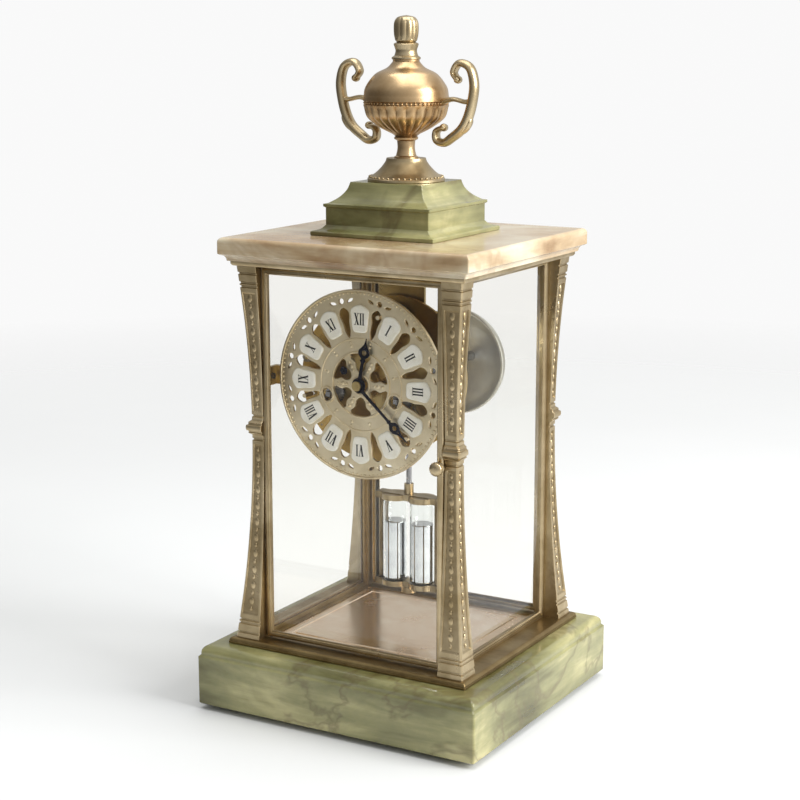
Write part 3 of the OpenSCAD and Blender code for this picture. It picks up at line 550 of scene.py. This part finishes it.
def make_rails():
    """The brass rails under and over the posts, and the floor inside the lower one."""
    floor_high = extent("floor_plate")[1]
    play = 0.1
    hole = (floor_high.x + play, floor_high.y + play)
    tall = height("base_rail")
    shoulder = 1.6
    # painted shade: the lower rail wears the darker brass copy as its shadow line
    moulded("lower_rail", "base_rail",
            [(0.3, 0), (0, 0.3), (0, 1.2), (0.5, 1.5)] + arc(2.1, shoulder, tall - shoulder), 0.6, hole,
            SHADED_BRASS)
    moulded("upper_rail", "top_rail", [(1.2, 0), (0.5, 0.35), (0, 1.2), (0, height("top_rail"))], 0.6, hole)
    tall = height("floor_plate")
    sunk = tall - 0.4
    moulded("floor", "floor_plate",
            [(0.2, 0), (0, 0.2), (0, tall - 0.3), (0.3, tall), (5, tall), (5.4, sunk), (6.4, sunk),
             (6.8, tall), (7.6, tall - 0.05)], 0.4)


POST_FLARE = 7.4
WAIST_ABOVE_MIDDLE = 11
BAND_ABOVE_WAIST = 3.5
BAND_R, BAND_SUNK = 4.5, 2
PANEL_DEPTH = 0.7
PANEL_MARGIN = 1.3


def post_reach(z, foot, waist_z, low_z):
    """How far out a post's outer face is at a level: curved in to the waist, with a band above it."""
    rise = waist_z - low_z
    r = (rise * rise + POST_FLARE * POST_FLARE) / (2 * POST_FLARE)
    waist = foot - POST_FLARE
    reach = waist + r - math.sqrt(r * r - (z - waist_z) ** 2)
    off = abs(z - waist_z - BAND_ABOVE_WAIST)
    return max(reach, waist - BAND_SUNK + math.sqrt(BAND_R ** 2 - off ** 2)) if off < BAND_R else reach


def post_ring(inner, outer, deep, z):
    """A post's section: square, with a sunk panel in each of its two outer faces."""
    (ix, iy), (ox, oy) = inner, outer
    margin, slope, soft, corner = PANEL_MARGIN, 0.4, 0.25, 0.8
    far = margin + slope
    return [(ix, iy, z), (ox - soft, iy, z), (ox, iy + soft, z), (ox, iy + margin, z),
            (ox - deep, iy + far, z), (ox - deep, oy - far, z), (ox, oy - margin, z), (ox, oy - corner, z),
            (ox - corner, oy, z), (ox - margin, oy, z), (ox - far, oy - deep, z), (ix + far, oy - deep, z),
            (ix + margin, oy, z), (ix + soft, oy, z), (ix, oy - soft, z)]


LEVEL_PITCH = 4
GROOVE_DEPTH = 0.55
BUD_PITCH = 4.4
BUD_END = 3


def post_levels(low_z, high_z, band_z, grooves, panels):
    """The heights at which a post's section changes, upwards."""
    steps = int((high_z - low_z) / LEVEL_PITCH) + 1
    levels = {low_z, high_z} | {low_z + LEVEL_PITCH * k for k in range(steps)}
    levels |= {band_z + k for k in (-4.5, -4, -3.2, -1, 0, 1, 3.2, 4, 4.5)}
    levels = {z for z in levels if all(abs(z - g) > 0.8 for g in grooves)}
    levels |= {g + k for g in grooves for k in (-0.7, -0.35, 0.35, 0.7)}
    levels |= {z for a, b in panels for z in (a, a + 1, b - 1, b)}
    return sorted(levels)


def make_post(name, node):
    """A slender post: foot, two sunk panels hung with leaf buds, a band above the middle and a capital."""
    low, high = extent("post_back_right")
    own = middle(node)
    sx, sy = math.copysign(1, own.x), math.copysign(1, own.y)
    waist_z = (low.z + high.z) / 2 + WAIST_ABOVE_MIDDLE
    band_z = waist_z + BAND_ABOVE_WAIST
    grooves = [low.z + 3, low.z + 8, low.z + 10, band_z - 6.4, band_z - 2, band_z + 2, band_z + 6.4,
               high.z - 11, high.z - 9, high.z - 4]
    panels = [(low.z + 13, band_z - 9), (band_z + 9, high.z - 14)]

    def reach(z, sunk):
        return [post_reach(z, foot, waist_z, low.z) - sunk for foot in (high.x, high.y)]

    rings = []
    for z in post_levels(low.z, high.z, band_z, grooves, panels):
        sunk = GROOVE_DEPTH if any(abs(z - g) < 0.5 for g in grooves) else 0
        deep = PANEL_DEPTH if any(a + 0.9 <= z <= b - 0.9 for a, b in panels) else 0
        section = post_ring((low.x, low.y), reach(z, sunk), deep, z)
        rings.append([(sx * x, sy * y, w) for x, y, w in section])
    bm = bmesh.new()
    skin(bm, rings)
    for a, b in panels:
        run = b - a - 2 * BUD_END
        count = int(run / BUD_PITCH)
        for k in range(count + 1):
            z = a + BUD_END + run * k / count
            ox, oy = reach(z, PANEL_DEPTH)
            size = 1 if k % 2 else 0.62
            bead(bm, (sx * ox, sy * (low.y + oy + PANEL_DEPTH) / 2, z), (0.62, 1.35 * size, 2.3 * size))
            bead(bm, (sx * (low.x + ox + PANEL_DEPTH) / 2, sy * oy, z), (1.5 * size, 0.62, 2.3 * size))
    piece(name, bm, node)


def blend(a, b, t):
    return a + (b - a) * t


def frame_bars(bm, outer, inner, profile, place):
    """Four mitred bars between an outer and an inner rectangle; profile gives share across and depth."""
    rings = []
    for cx, cz in ((0, 1), (2, 1), (2, 3), (0, 3)):
        rings.append([place(blend(outer[cx], inner[cx], t), blend(outer[cz], inner[cz], t), d)
                      for t, d in profile])
    skin(bm, rings, loop=True)


# A bar's section: share of the way to the opening, and depth as a share of the frame's thickness
DOOR_BAR = [(0, 0.5), (0.035, 0.32), (0.15, 0.15), (0.32, 0.04), (0.5, 0), (0.6, 0), (0.64, 0.07),
            (0.7, 0.03), (0.78, 0.03), (0.84, 0.1), (0.9, 0.2), (1, 0.24), (1, 0.38), (0.65, 0.38),
            (0.65, 1), (0.5, 1), (0.15, 0.85), (0.035, 0.68)]
SIDE_BAR = [(0, 0), (0.45, 0), (0.5, 0.07), (0.58, 0.03), (0.7, 0.03), (0.78, 0.1), (0.88, 0.2),
            (1, 0.24), (1, 0.72), (0.66, 0.75), (0.66, 1), (0, 1)]
STILE = 4.0
SIDE_STILE = 4.1
BAR_END = 3.6


def make_door(name, node):
    low, high = extent(node)
    thick = high.y - low.y
    front, inward = (low.y, 1) if low.y < 0 else (high.y, -1)
    outer = (low.x, low.z, high.x, high.z)
    inner = (low.x + STILE, low.z + BAR_END, high.x - STILE, high.z - BAR_END)
    bm = bmesh.new()
    frame_bars(bm, outer, inner, DOOR_BAR, lambda x, z, d: Vector((x, front + inward * d * thick, z)))
    piece(name, bm, node)


def make_side_frames():
    low, high = extent("side_frames")
    outer = (low.y, low.z, high.y, high.z)
    inner = (low.y + SIDE_STILE, low.z + BAR_END, high.y - SIDE_STILE, high.z - BAR_END)
    bm = bmesh.new()
    for side in (-1, 1):
        frame_bars(bm, outer, inner, SIDE_BAR, lambda y, z, d: Vector((side * (high.x - d * STILE), y, z)))
    piece("pane_frames", bm, "side_frames")


# ---------------------------------------------------------------- the finial

FOOT_TALL = 12
FLUTES = 24
FLUTE_DEPTH = 0.055
MILLINGS = 12


def finial_foot_z():
    return extent("finial_socle")[1].z - FOOT_TALL


def bead_row(bm, count, radius, z, size):
    """A level ring of beads round the finial's axis."""
    for k in range(count):
        x, y = polar(radius, 360 * k / count)
        bead(bm, (x, y, z), size)


def ridges(count, a):
    """1 on each ridge between round hollows and 0 in the middle of a hollow."""
    return 1 - abs(math.sin(count * a / 2))


def make_finial_foot():
    foot = finial_foot_z()
    sweep = curve([(19.4, 2.2), (16, 4.4), (13, 7.4), (11, 10.2), (10.4, FOOT_TALL)], 6)
    bm = bmesh.new()
    lathe(bm, [(0, 0), (20.2, 0), (20.5, 0.3), (20.5, 1.4), (20.1, 1.7)] + sweep + [(0, FOOT_TALL)],
          (0, 0, foot))
    bead_row(bm, 40, 19.3, foot + 2.3, (0.75, 0.75, 0.6))
    piece("finial_foot", bm, "finial_socle")


def make_finial_bowl():
    """The urn: a stem, a fluted lower bowl, a beaded girdle and a plain shoulder."""
    foot = finial_foot_z()

    def flutes(a, h):
        share = max(0, min(1, (h - 23) / 4)) * max(0, min(1, (40 - h) / 3))
        return 1 - FLUTE_DEPTH * share * ridges(FLUTES, a)

    stem = [(0, FOOT_TALL), (6.4, FOOT_TALL), (6.4, 12.6)] + curve([(5.4, 13.2), (4.6, 17), (4.8, 21)], 5)
    collar = [(6.2, 21.8), (6.4, 22.6), (5.8, 23.4)]
    bowl = curve([(7.4, 24.6), (14, 28), (20.4, 33), (22.3, 38.6)], 8)
    girdle = [(22.6, 39.6), (21.9, 40.2), (21.9, 41.2), (22.6, 41.8), (22.5, 43.6)]
    shoulder = curve([(22.3, 44.4), (21.3, 49), (16.4, 55.4), (10, 58.8), (7, 62)], 6) + [(7, 63), (0, 63)]
    bm = bmesh.new()
    lathe(bm, stem + collar + bowl + girdle + shoulder, (0, 0, foot), segments=192, swell=flutes)
    bead_row(bm, 60, 21.9, foot + 40.7, (0.7, 0.7, 0.6))
    # the urn takes the warmer gilt copy, whose darker colour and stronger hollow darkening are painted shade
    piece("finial_bowl", bm, "finial_urn", WARM_SHADED_GILT)


def make_finial_tip():
    """The knob over the urn: a turned neck and a ribbed bud."""
    foot = finial_foot_z()
    tall = extent("finial_knob")[1].z - foot

    def ribs(a, h):
        return 1 - (0.06 * ridges(MILLINGS, a) if 73 < h < tall - 1.5 else 0)

    neck = [(0, 63), (7.4, 63), (7.6, 63.3), (7.6, 64), (7.2, 64.3)]
    neck += curve([(6.2, 65), (5.6, 67.4), (6.2, 69.6), (6.6, 70.8)], 5) + [(6.2, 71.3)]
    bud = curve([(4.9, 71.8), (6, 73.4), (6.6, 77), (6.4, 82), (4.4, tall - 1), (0, tall)], 6)
    bm = bmesh.new()
    lathe(bm, neck + bud, (0, 0, foot), swell=ribs)
    piece("finial_tip", bm, "finial_knob")


HANDLE_PATH = [(22.6, 28.4), (18.4, 26.4), (18.6, 21.8), (23, 20.6), (27.6, 23.4), (33, 27.6), (36.6, 33.4),
               (39.2, 42), (40.2, 51), (37.8, 59), (31.8, 61.4), (28.4, 56.8), (30.8, 53)]


def make_finial_scrolls():
    """Two scrolled handles, each with a curl at both ends, a stay to the bowl and a leaf on its back."""
    foot = finial_foot_z()
    bm = bmesh.new()
    for side in (-1, 1):

        def path(points, steps):
            return [Vector((side * x, 0, foot + z)) for x, z in curve(points, steps)]

        scroll = path(HANDLE_PATH, 8)
        tube(bm, scroll, lambda t: 2.6 * (0.5 + 0.5 * math.sin(math.pi * t)), 3.4)
        for end in (scroll[0], scroll[-1]):
            bead(bm, end, (2.1, 3.2, 2.1))
        stay = path([(21.2, 41.4), (28, 43), (35, 41.8), (39, 42.4)], 6)
        tube(bm, stay, lambda t: 1.7 - 0.5 * math.sin(math.pi * t), 2.4)
        leaf = path([(30, 25.6), (34.4, 26.6), (38, 31), (38.6, 35)], 6)
        tube(bm, leaf, lambda t: 0.25 + 1.1 * math.sin(math.pi * t), 2.2)
    piece("finial_scrolls", bm, "finial_handles")


# ---------------------------------------------------------------- dial and hands

DIAL_Y = round(extent("dial_plaques")[1].y, 3)
DIAL_T = 1.5
CENTRE_Z = round(middle("dial_ring").z, 3)
PLAQUE_R = 34.5
WINDING_AT = [(round(at.x, 3), round(at.z - CENTRE_Z, 3))
              for at in (middle("strike_arbor"), middle("going_arbor"))]
WINDING_CLEAR = 5.4


def on_dial(u, v, h=0.0):
    """A point on the dial: across, up from its centre, and forward from its face."""
    return Vector((u, DIAL_Y - h, CENTRE_Z + v))


def turned(points, degrees):
    c, s = math.cos(math.radians(degrees)), math.sin(math.radians(degrees))
    return [(u * c - v * s, u * s + v * c) for u, v in points]


def dial_feet():
    """Where the dial's feet stand: the middles of the CAD ring's parts that reach the front plate."""
    points = node_points("dial_ring")
    deepest = max(p.y for p in points)
    groups = []
    for p in (p for p in points if p.y > deepest - 0.1):
        home = next((g for g in groups if (g[0] - p).length < 4), None)
        if home:
            home.append(p)
        else:
            groups.append([p])
    return [((min(p.x for p in g) + max(p.x for p in g)) / 2, (min(p.z for p in g) + max(p.z for p in g)) / 2)
            for g in groups]


LEAF = [(25.2, 0), (28.4, 1.5), (33, 1.9), (38, 3), (41, 0), (38, -3), (33, -1.9), (28.4, -1.5)]
PETAL = [(6.6, 0), (8.4, 2.6), (11.6, 3.4), (14, 6), (16, 5), (16.6, 0), (16, -5), (14, -6), (11.6, -3.4),
         (8.4, -2.6)]
BUD = [(43.2, 3.4), (44.6, 4.5), (44.8, 7.2), (43.4, 6.2)]


def dial_openings():
    """The winding holes, the centre, and a leaf, an eye and two buds between each two plaques."""
    holes = [circle(3.2, at) for at in WINDING_AT]
    holes.append(circle(4.2))
    for a in range(15, 360, 30):
        holes.append(turned(closed(LEAF), a))
        holes.append(turned(circle(1.5, (44.4, 0), 24), a))
        for side in (-1, 1):
            holes.append(turned(closed([(u, v * side) for u, v in BUD]), a))
    for a in range(30, 390, 60):
        holes.append(turned(closed(PETAL), a))
    return holes


RAISED = [(-0.6, 0), (-0.6, 0.5), (-0.35, 0.85), (0.35, 0.85), (0.6, 0.5), (0.6, 0)]


def raised_ring(bm, radius, at=(0, 0), share=1, sunk=0.1, segments=120):
    """A raised band round a point of the dial."""
    width, rise = (1, 1) if share == 1 else (0.7, 0.6)
    band = [(radius + width * u, rise * h - sunk) for u, h in RAISED]
    lathe_ring(bm, band, on_dial(*at), FORWARD, segments)


def dial_bead(bm, radius, degrees, rise, size, depth):
    u, v = polar(radius, degrees)
    if all(math.hypot(u - x, v - y) > WINDING_CLEAR for x, y in WINDING_AT):
        bead(bm, on_dial(u, v, rise), (size, depth, size))


def make_dial_ring():
    """The pierced ring with its rosette, beaded rims, feet, and collars round the winding holes."""
    rim = extent("dial_ring")[1].x
    edge = 0.3
    bm = bmesh.new()
    cut_plate(bm, [circle(rim - edge, steps=180)] + dial_openings(), DIAL_T, edge,
              lambda u, v, w: on_dial(u, v, w - DIAL_T / 2))
    for radius in (rim - 0.65, 17.2):
        raised_ring(bm, radius, sunk=0.15, segments=144)
    for radius in (5.1, 24.3):
        raised_ring(bm, radius, share=0.7)
    for at in WINDING_AT:
        raised_ring(bm, 3.9, at, segments=60)
    for a in range(0, 360, 3):
        dial_bead(bm, rim - 2.1, a, 0.1, 0.62, 0.45)
    for a in range(0, 360, 60):
        for radius, size in ((8.4, 0.8), (10.6, 1.1), (13.2, 0.9)):
            dial_bead(bm, radius, a, 0.1, size, 0.5)
    for a in range(15, 375, 30):
        for radius, size in ((20.6, 0.9), (22.6, 0.6)):
            dial_bead(bm, radius, a, 0.05, size, 0.45)
    foot_r, foot_l = 1.15, 7.6
    foot = [(0, 0), (foot_r, 0), (foot_r, foot_l), (0, foot_l)]
    for x, z in dial_feet():
        lathe(bm, foot, (x, DIAL_Y + DIAL_T + 7.5, z), FORWARD, 20)
    piece("dial_openwork", bm, "dial_ring", PALE_GILT)


PLAQUE = [(-3.9, -6.2), (0, -7), (3.9, -6.2), (5, 0), (5.2, 5), (0, 7.6), (-5.2, 5), (-5, 0)]
PLAQUE_LEVELS = ((1, 0), (1, 0.35), (0.985, 0.6), (0.95, 0.82), (0.9, 0.96), (0.84, 1))


def make_plaques():
    """Twelve cartouches of enamel with rounded shoulders."""
    shape = closed(PLAQUE, 7)
    bm = bmesh.new()
    for k in range(12):
        rings = []
        for share, h in PLAQUE_LEVELS:
            ring = turned([p * share + Vector((0, PLAQUE_R)) for p in shape], -30 * k)
            rings.append([on_dial(u, v, h) for u, v in ring])
        skin(bm, rings)
    piece("numeral_plaques", bm, "dial_plaques")


NUMERALS = ("XII", "I", "II", "III", "IIII", "V", "VI", "VII", "VIII", "IX", "X", "XI")
NUMERAL_TALL = 6.2
NUMERAL_WIDE = 7.0
GLYPH_WIDE = {"I": 1.5, "V": 3.4, "X": 3.4}
GLYPH_GAP = 0.35
THICK, THIN, SERIF = 0.95, 0.32, 0.24


def slanted(x0, x1, width):
    """A stroke of full height from x0 at its foot to x1 at its head."""
    return [(x0 - width / 2, 0), (x0 + width / 2, 0), (x1 + width / 2, NUMERAL_TALL),
            (x1 - width / 2, NUMERAL_TALL)]


def serif(centre, y, width):
    left, right = centre - width / 2, centre + width / 2
    return [(left, y), (right, y), (right, y + SERIF), (left, y + SERIF)]


def strokes(letter, x):
    """A letter's strokes as four-cornered shapes, from x."""
    w = GLYPH_WIDE[letter] - GLYPH_GAP
    head = NUMERAL_TALL - SERIF
    left, centre, right = x + 0.6, x + w / 2, x + w - 0.6
    if letter == "I":
        return [slanted(centre, centre, THICK * 0.8), serif(centre, 0, w + 0.2), serif(centre, head, w + 0.2)]
    heads = [serif(left, head, 1.3), serif(right, head, 1.2)]
    if letter == "V":
        return [slanted(centre, left, THICK), slanted(centre, right, THIN)] + heads
    return [slanted(right, left, THICK), slanted(left, right, THIN)] + heads + [
        serif(left, 0, 1.2), serif(right, 0, 1.3)]


def make_numerals():
    """Painted hour numerals, each standing on its plaque with its foot towards the centre."""
    bm = bmesh.new()
    for k, text in enumerate(NUMERALS):
        wide = sum(GLYPH_WIDE[c] for c in text)
        squeeze = min(1.0, NUMERAL_WIDE / wide)
        x = 0.0
        for c in text:
            for i, shape in enumerate(strokes(c, x)):
                spots = turned([((u - wide / 2 + 0.17) * squeeze, PLAQUE_R + 0.2 + v - NUMERAL_TALL / 2)
                                for u, v in shape], -30 * k)
                skin(bm, [[on_dial(u, v, h) for u, v in spots] for h in (0.9, 1.06 + 0.01 * i)])
            x += GLYPH_WIDE[c]
    piece("painted_numerals", bm, "dial_plaques", INK)


HOUR_BLADE = [(3.4, 1.0), (9, 0.85), (12.4, 0.8), (13.4, 1.7), (14.4, 0.9), (16.2, 2.9), (18.6, 3.2),
              (21.2, 1.3), (23, 0.5), (25.4, 0.14)]
MINUTE_BLADE = [(2.8, 0.85), (14, 0.8), (24, 0.7), (25.2, 1.5), (26.2, 0.8), (28.4, 2.6), (31, 2.7),
                (34, 0.9), (37, 0.4), (39.9, 0.12)]


def make_hand(name, node, blade, eyes, boss, bore, tail=None):
    """A flat blued hand: a blade given by height and half width, with round eyes, a boss and maybe a tail."""
    low, high = extent(node)
    thick = high.y - low.y
    plane = (low.y + high.y) / 2
    far = max(node_points(node), key=lambda p: math.hypot(p.x, p.z - CENTRE_Z))
    lean = math.degrees(math.atan2(far.z - CENTRE_Z, far.x)) - 90

    def place(u, v, w):
        (u, v), = turned([(u, v)], lean)
        return Vector((u, plane - w, CENTRE_Z + v))

    half = curve(blade, 4)
    outline = [(w, v) for v, w in half] + [(-w, v) for v, w in reversed(half)]
    bm = bmesh.new()
    cut_plate(bm, [outline] + [circle(r, (0, v), 24) for v, r in eyes], thick, 0.12, place)
    face, soft = thick / 2, 0.25
    ring = [(bore, -face), (bore, face), (boss - 0.3, face), (boss, face - soft), (boss, soft - face),
            (boss - 0.3, -face)]
    lathe_ring(bm, ring, (0, plane, CENTRE_Z), FORWARD, 48)
    if tail:
        length, r = tail
        lathe(bm, [(0, -face), (r - 0.2, -face), (r, 0), (r - 0.2, face), (0, face)], place(0, -length, 0),
              FORWARD, 32)
    piece(name, bm, node)


# ---------------------------------------------------------------- feet, latches, bell and pendulum jars

FOOT_R = 8


def make_feet():
    low, high = extent("base_feet")
    tall = high.z - low.z
    bun = [(0, 0), (FOOT_R - 1.6, 0), (FOOT_R - 0.6, tall * 0.2), (FOOT_R, tall * 0.5),
           (FOOT_R - 0.2, tall * 0.8), (FOOT_R - 0.7, tall), (0, tall)]
    bm = bmesh.new()
    for x in (low.x + FOOT_R, high.x - FOOT_R):
        for y in (low.y + FOOT_R, high.y - FOOT_R):
            lathe(bm, bun, (x, y, low.z), segments=64)
    piece("bun_feet", bm, "base_feet")


KNOB_R, KNOB_TALL = 3.6, 6.5
SPINDLE_R = 0.8
TONGUE_R, TONGUE_T = 2.2, 1.2
TONGUE_END = [(5.7, -1.2), (6.2, -0.8), (6.2, 0.8), (5.7, 1.2)]


def make_latch(name, node):
    """A door's turn-button: a milled knob, its spindle and the tongue behind the stile."""
    low, high = extent(node)
    if abs(low.y) > abs(high.y):
        side, front, back, x = 1, low.y, high.y, low.x + KNOB_R
    else:
        side, front, back, x = -1, high.y, low.y, high.x - KNOB_R
    at = Vector((x, front + side * KNOB_TALL, low.z + KNOB_R))
    pose = FORWARD if side > 0 else FORWARD @ Matrix.Rotation(math.pi, 3, "X")

    def milling(a, h):
        return 1 - (0.05 * ridges(18, a) if 3.2 < h < 5.3 else 0)

    knob = [(0, 0), (2.4, 0), (2.6, 0.2), (2.6, 0.6)]
    knob += curve([(1.6, 1.2), (1.5, 2.2), (3.5, 3.5), (3.6, 4.2), (3.5, 5.2), (2, 6.3), (0, KNOB_TALL)], 5)
    reach = abs(at.y - back)
    tongue = [polar(TONGUE_R, 35 + 290 * k / 20) for k in range(21)] + TONGUE_END
    rings = []
    for share, depth in ((0.94, 0), (1, 0.15), (1, TONGUE_T - 0.15), (0.94, TONGUE_T)):
        rings.append([Vector((x + side * u * (share if u < 0 else 1), back - side * depth, at.z + v * share))
                      for u, v in tongue])
    bm = bmesh.new()
    lathe(bm, knob, at, pose, 72, milling)
    lathe(bm, [(0, -0.2), (SPINDLE_R, -0.2), (SPINDLE_R, -reach), (0, -reach)], at, pose, 24)
    skin(bm, rings)
    piece(name, bm, node)


BACKWARD = Matrix(((1, 0, 0), (0, 0, 1), (0, -1, 0)))
BELL_WALL = 1.4
BELL_BORE = 2.05
TURNED_LINES = (7, 9)


def make_bell():
    """A turned bell with a rounded lip and two turned lines."""
    low, high = extent("bell")
    r, deep = (high.x - low.x) / 2, high.y - low.y

    def shell(sunk, step):
        a = math.radians(3 * step)
        return ((r - sunk) * math.cos(a), (deep - sunk) * math.sin(a))

    outer = [shell(0.3 if k in TURNED_LINES else 0, k) for k in range(1, 29)]
    inner = [shell(BELL_WALL, k) for k in range(28, 0, -1)]
    lip = [(r - 1.3, 0.3), (r - 0.8, 0), (r - 0.2, 0.1)]
    bm = bmesh.new()
    lathe_ring(bm, lip + outer + [(BELL_BORE, deep), (BELL_BORE, deep - BELL_WALL)] + inner,
               ((low.x + high.x) / 2, low.y, (low.z + high.z) / 2), BACKWARD, 120)
    piece("turned_bell", bm, "bell")


JAR_WALL = 0.8


def make_jars():
    """Two glass jars with rounded feet and shoulders, filled with mercury that bulges at its rim."""
    low, high = extent("jars")
    r, tall = (high.y - low.y) / 2, high.z - low.z
    fill_z = extent("mercury")[0].z
    fill = height("mercury")
    inside = r - JAR_WALL
    wet = inside - 0.03
    outer = [(0, 0), (r - 1.2, 0), (r - 0.35, 0.3), (r, 1.1), (r, tall - 3), (r - 0.15, tall - 1.6),
             (r - 0.4, tall - 0.5), (r - 0.6, tall)]
    inner = [(inside - 0.5, tall), (inside - 0.35, tall - 0.8), (inside, tall - 2.6), (inside, 1.6),
             (inside - 0.4, 1), (0, 1)]
    liquid = [(0, 0.02), (inside - 0.5, 0.02), (wet, 0.6), (wet, fill - 0.9), (inside - 0.2, fill - 0.35),
              (inside - 0.8, fill - 0.08), (inside - 2.2, fill), (0, fill)]
    glass, content = bmesh.new(), bmesh.new()
    for x in (low.x + r, high.x - r):
        y = (low.y + high.y) / 2
        lathe(glass, outer + inner, (x, y, low.z), segments=72)
        lathe(content, liquid, (x, y, fill_z), segments=72)
    piece("glass_jars", glass, "jars", JAR_GLASS)
    piece("mercury_fill", content, "mercury")


# ---------------------------------------------------------------- carried-over pieces

CRISP_SLOTS = {"enamel", "glass", "mercury"}
CRISP_NODES = {"escape_wheel", "pallets"}
EDGE = 0.12


def dress_cad_nodes():
    """Every CAD node that stays gets its slot's material and softened edges."""
    for name, obj in frame["nodes"].items():
        slot = SLOT_OF[name]
        obj.data.materials.clear()
        obj.data.materials.append(MATERIALS[slot])
        if slot not in CRISP_SLOTS and name not in CRISP_NODES:
            soften(obj, EDGE)


dress_cad_nodes()
make_plinth()
make_upper_slab()
make_finial_block()
make_rails()
for place in ("front_left", "front_right", "back_left", "back_right"):
    make_post("column_" + place, "post_" + place)
make_door("front_door_bars", "front_door_frame")
make_door("rear_door_bars", "rear_door_frame")
make_side_frames()
make_finial_foot()
make_finial_bowl()
make_finial_tip()
make_finial_scrolls()
make_dial_ring()
make_plaques()
make_numerals()
make_hand("hour_pointer", "hour_hand", HOUR_BLADE, [(17.8, 1.45), (21, 0.4)], 4, 2.65)
make_hand("minute_pointer", "minute_hand", MINUTE_BLADE, [(29.8, 1.25), (33, 0.35)], 3.2, 1.64, (11, 2.2))
make_feet()
make_latch("front_turn_knob", "front_latch")
make_latch("rear_turn_knob", "rear_latch")
make_bell()
make_jars()


# ---------------------------------------------------------------- camera, light and floor

LOOK_AT = Vector((0, 0, 165.9 * MM))
CAMERA_AZIMUTH, CAMERA_ELEVATION = math.radians(30.0), math.radians(11.8)
CAMERA_DISTANCE = 985.1 * MM
FOCAL_SHARE = 1818.1 / 800
SENSOR = 36.0
SHIFT = (-6.2 / 800, 1.2 / 800)


def make_camera():
    data = bpy.data.cameras.new("camera")
    data.sensor_width = SENSOR
    data.lens = FOCAL_SHARE * SENSOR
    data.shift_x, data.shift_y = SHIFT
    data.clip_start, data.clip_end = 0.01, 50
    obj = bpy.data.objects.new("camera", data)
    flat = math.cos(CAMERA_ELEVATION)
    back = Vector((math.sin(CAMERA_AZIMUTH) * flat, -math.cos(CAMERA_AZIMUTH) * flat,
                   math.sin(CAMERA_ELEVATION)))
    obj.location = LOOK_AT + CAMERA_DISTANCE * back
    obj.rotation_euler = back.to_track_quat("Z", "Y").to_euler()
    bpy.context.scene.collection.objects.link(obj)
    bpy.context.scene.camera = obj


def softbox(name, place, size, power, colour=(1, 1, 1)):
    data = bpy.data.lights.new(name, "AREA")
    data.shape = "RECTANGLE"
    data.size, data.size_y = size
    data.energy = power
    data.color = colour
    obj = bpy.data.objects.new(name, data)
    obj.location = place
    obj.rotation_euler = (Vector(place) - LOOK_AT).to_track_quat("Z", "Y").to_euler()
    bpy.context.scene.collection.objects.link(obj)


def studio_world():
    """A white backdrop for the camera, and light that is stronger from above and the right."""
    world = bpy.data.worlds.new("studio")
    world.use_nodes = True
    bpy.context.scene.world = world
    tree = world.node_tree
    tree.nodes.clear()
    output = tree.nodes.new("ShaderNodeOutputWorld")
    seen = tree.nodes.new("ShaderNodeBackground")
    seen.inputs["Color"].default_value = (0.95, 0.95, 0.95, 1)
    light = tree.nodes.new("ShaderNodeBackground")
    light.inputs["Strength"].default_value = 0.85
    coordinates = tree.nodes.new("ShaderNodeTexCoord")
    aim = tree.nodes.new("ShaderNodeVectorMath")
    aim.operation = "DOT_PRODUCT"
    aim.inputs[1].default_value = (0.72, 0.3, 0.62)
    ramp = tree.nodes.new("ShaderNodeValToRGB")
    for element, (at, value) in zip(ramp.color_ramp.elements, ((0.14, 0.17), (0.8, 0.95))):
        element.position = at
        element.color = (value, value, value * 0.99, 1)
    spread = tree.nodes.new("ShaderNodeMapRange")
    spread.inputs["From Min"].default_value = -1
    path = tree.nodes.new("ShaderNodeLightPath")
    blend = tree.nodes.new("ShaderNodeMixShader")
    tree.links.new(coordinates.outputs["Generated"], aim.inputs[0])
    tree.links.new(aim.outputs["Value"], spread.inputs["Value"])
    tree.links.new(spread.outputs["Result"], ramp.inputs["Fac"])
    tree.links.new(ramp.outputs["Color"], light.inputs["Color"])
    tree.links.new(path.outputs["Is Camera Ray"], blend.inputs["Fac"])
    tree.links.new(light.outputs["Background"], blend.inputs[1])
    tree.links.new(seen.outputs["Background"], blend.inputs[2])
    tree.links.new(blend.outputs["Shader"], output.inputs["Surface"])


FLOOR_R = 1.6


def make_floor():
    """A pale floor that fades into the backdrop."""
    mesh = bpy.data.meshes.new("floor")
    bm = bmesh.new()
    bmesh.ops.create_circle(bm, cap_ends=True, radius=FLOOR_R, segments=96)
    bm.to_mesh(mesh)
    bm.free()
    obj = bpy.data.objects.new("floor", mesh)
    bpy.context.scene.collection.objects.link(obj)
    s = Shader("floor")
    coordinates = s.add("TexCoord")
    length = s.add("VectorMath", operation="LENGTH")
    s.join(coordinates.outputs["Object"], length.inputs[0])
    fade = s.span(length.outputs["Value"], 0.3, FLOOR_R * 0.85, 0, 1)
    s.set(Roughness=0.6, Specular_IOR_Level=0.2)
    cloud = s.noise(coordinates.outputs["Object"], 3)
    s.join(s.ramp(cloud, [(0.4, (0.70, 0.71, 0.71, 1)), (0.6, (0.72, 0.73, 0.73, 1))]),
           s.main.inputs["Base Color"])
    see = s.add("BsdfTransparent")
    blend = s.add("MixShader")
    s.join(fade, blend.inputs["Fac"])
    s.join(s.main.outputs["BSDF"], blend.inputs[1])
    s.join(see.outputs["BSDF"], blend.inputs[2])
    s.join(blend.outputs["Shader"], s.output.inputs["Surface"])
    mesh.materials.append(s.material)


make_camera()
studio_world()
make_floor()
softbox("key_right", (1.4, 0.1, 0.8), (0.9, 1.1), 31)
softbox("top", (0.1, 0.1, 1.5), (1.2, 1.2), 12)
bpy.context.scene.view_settings.view_transform = "Standard"
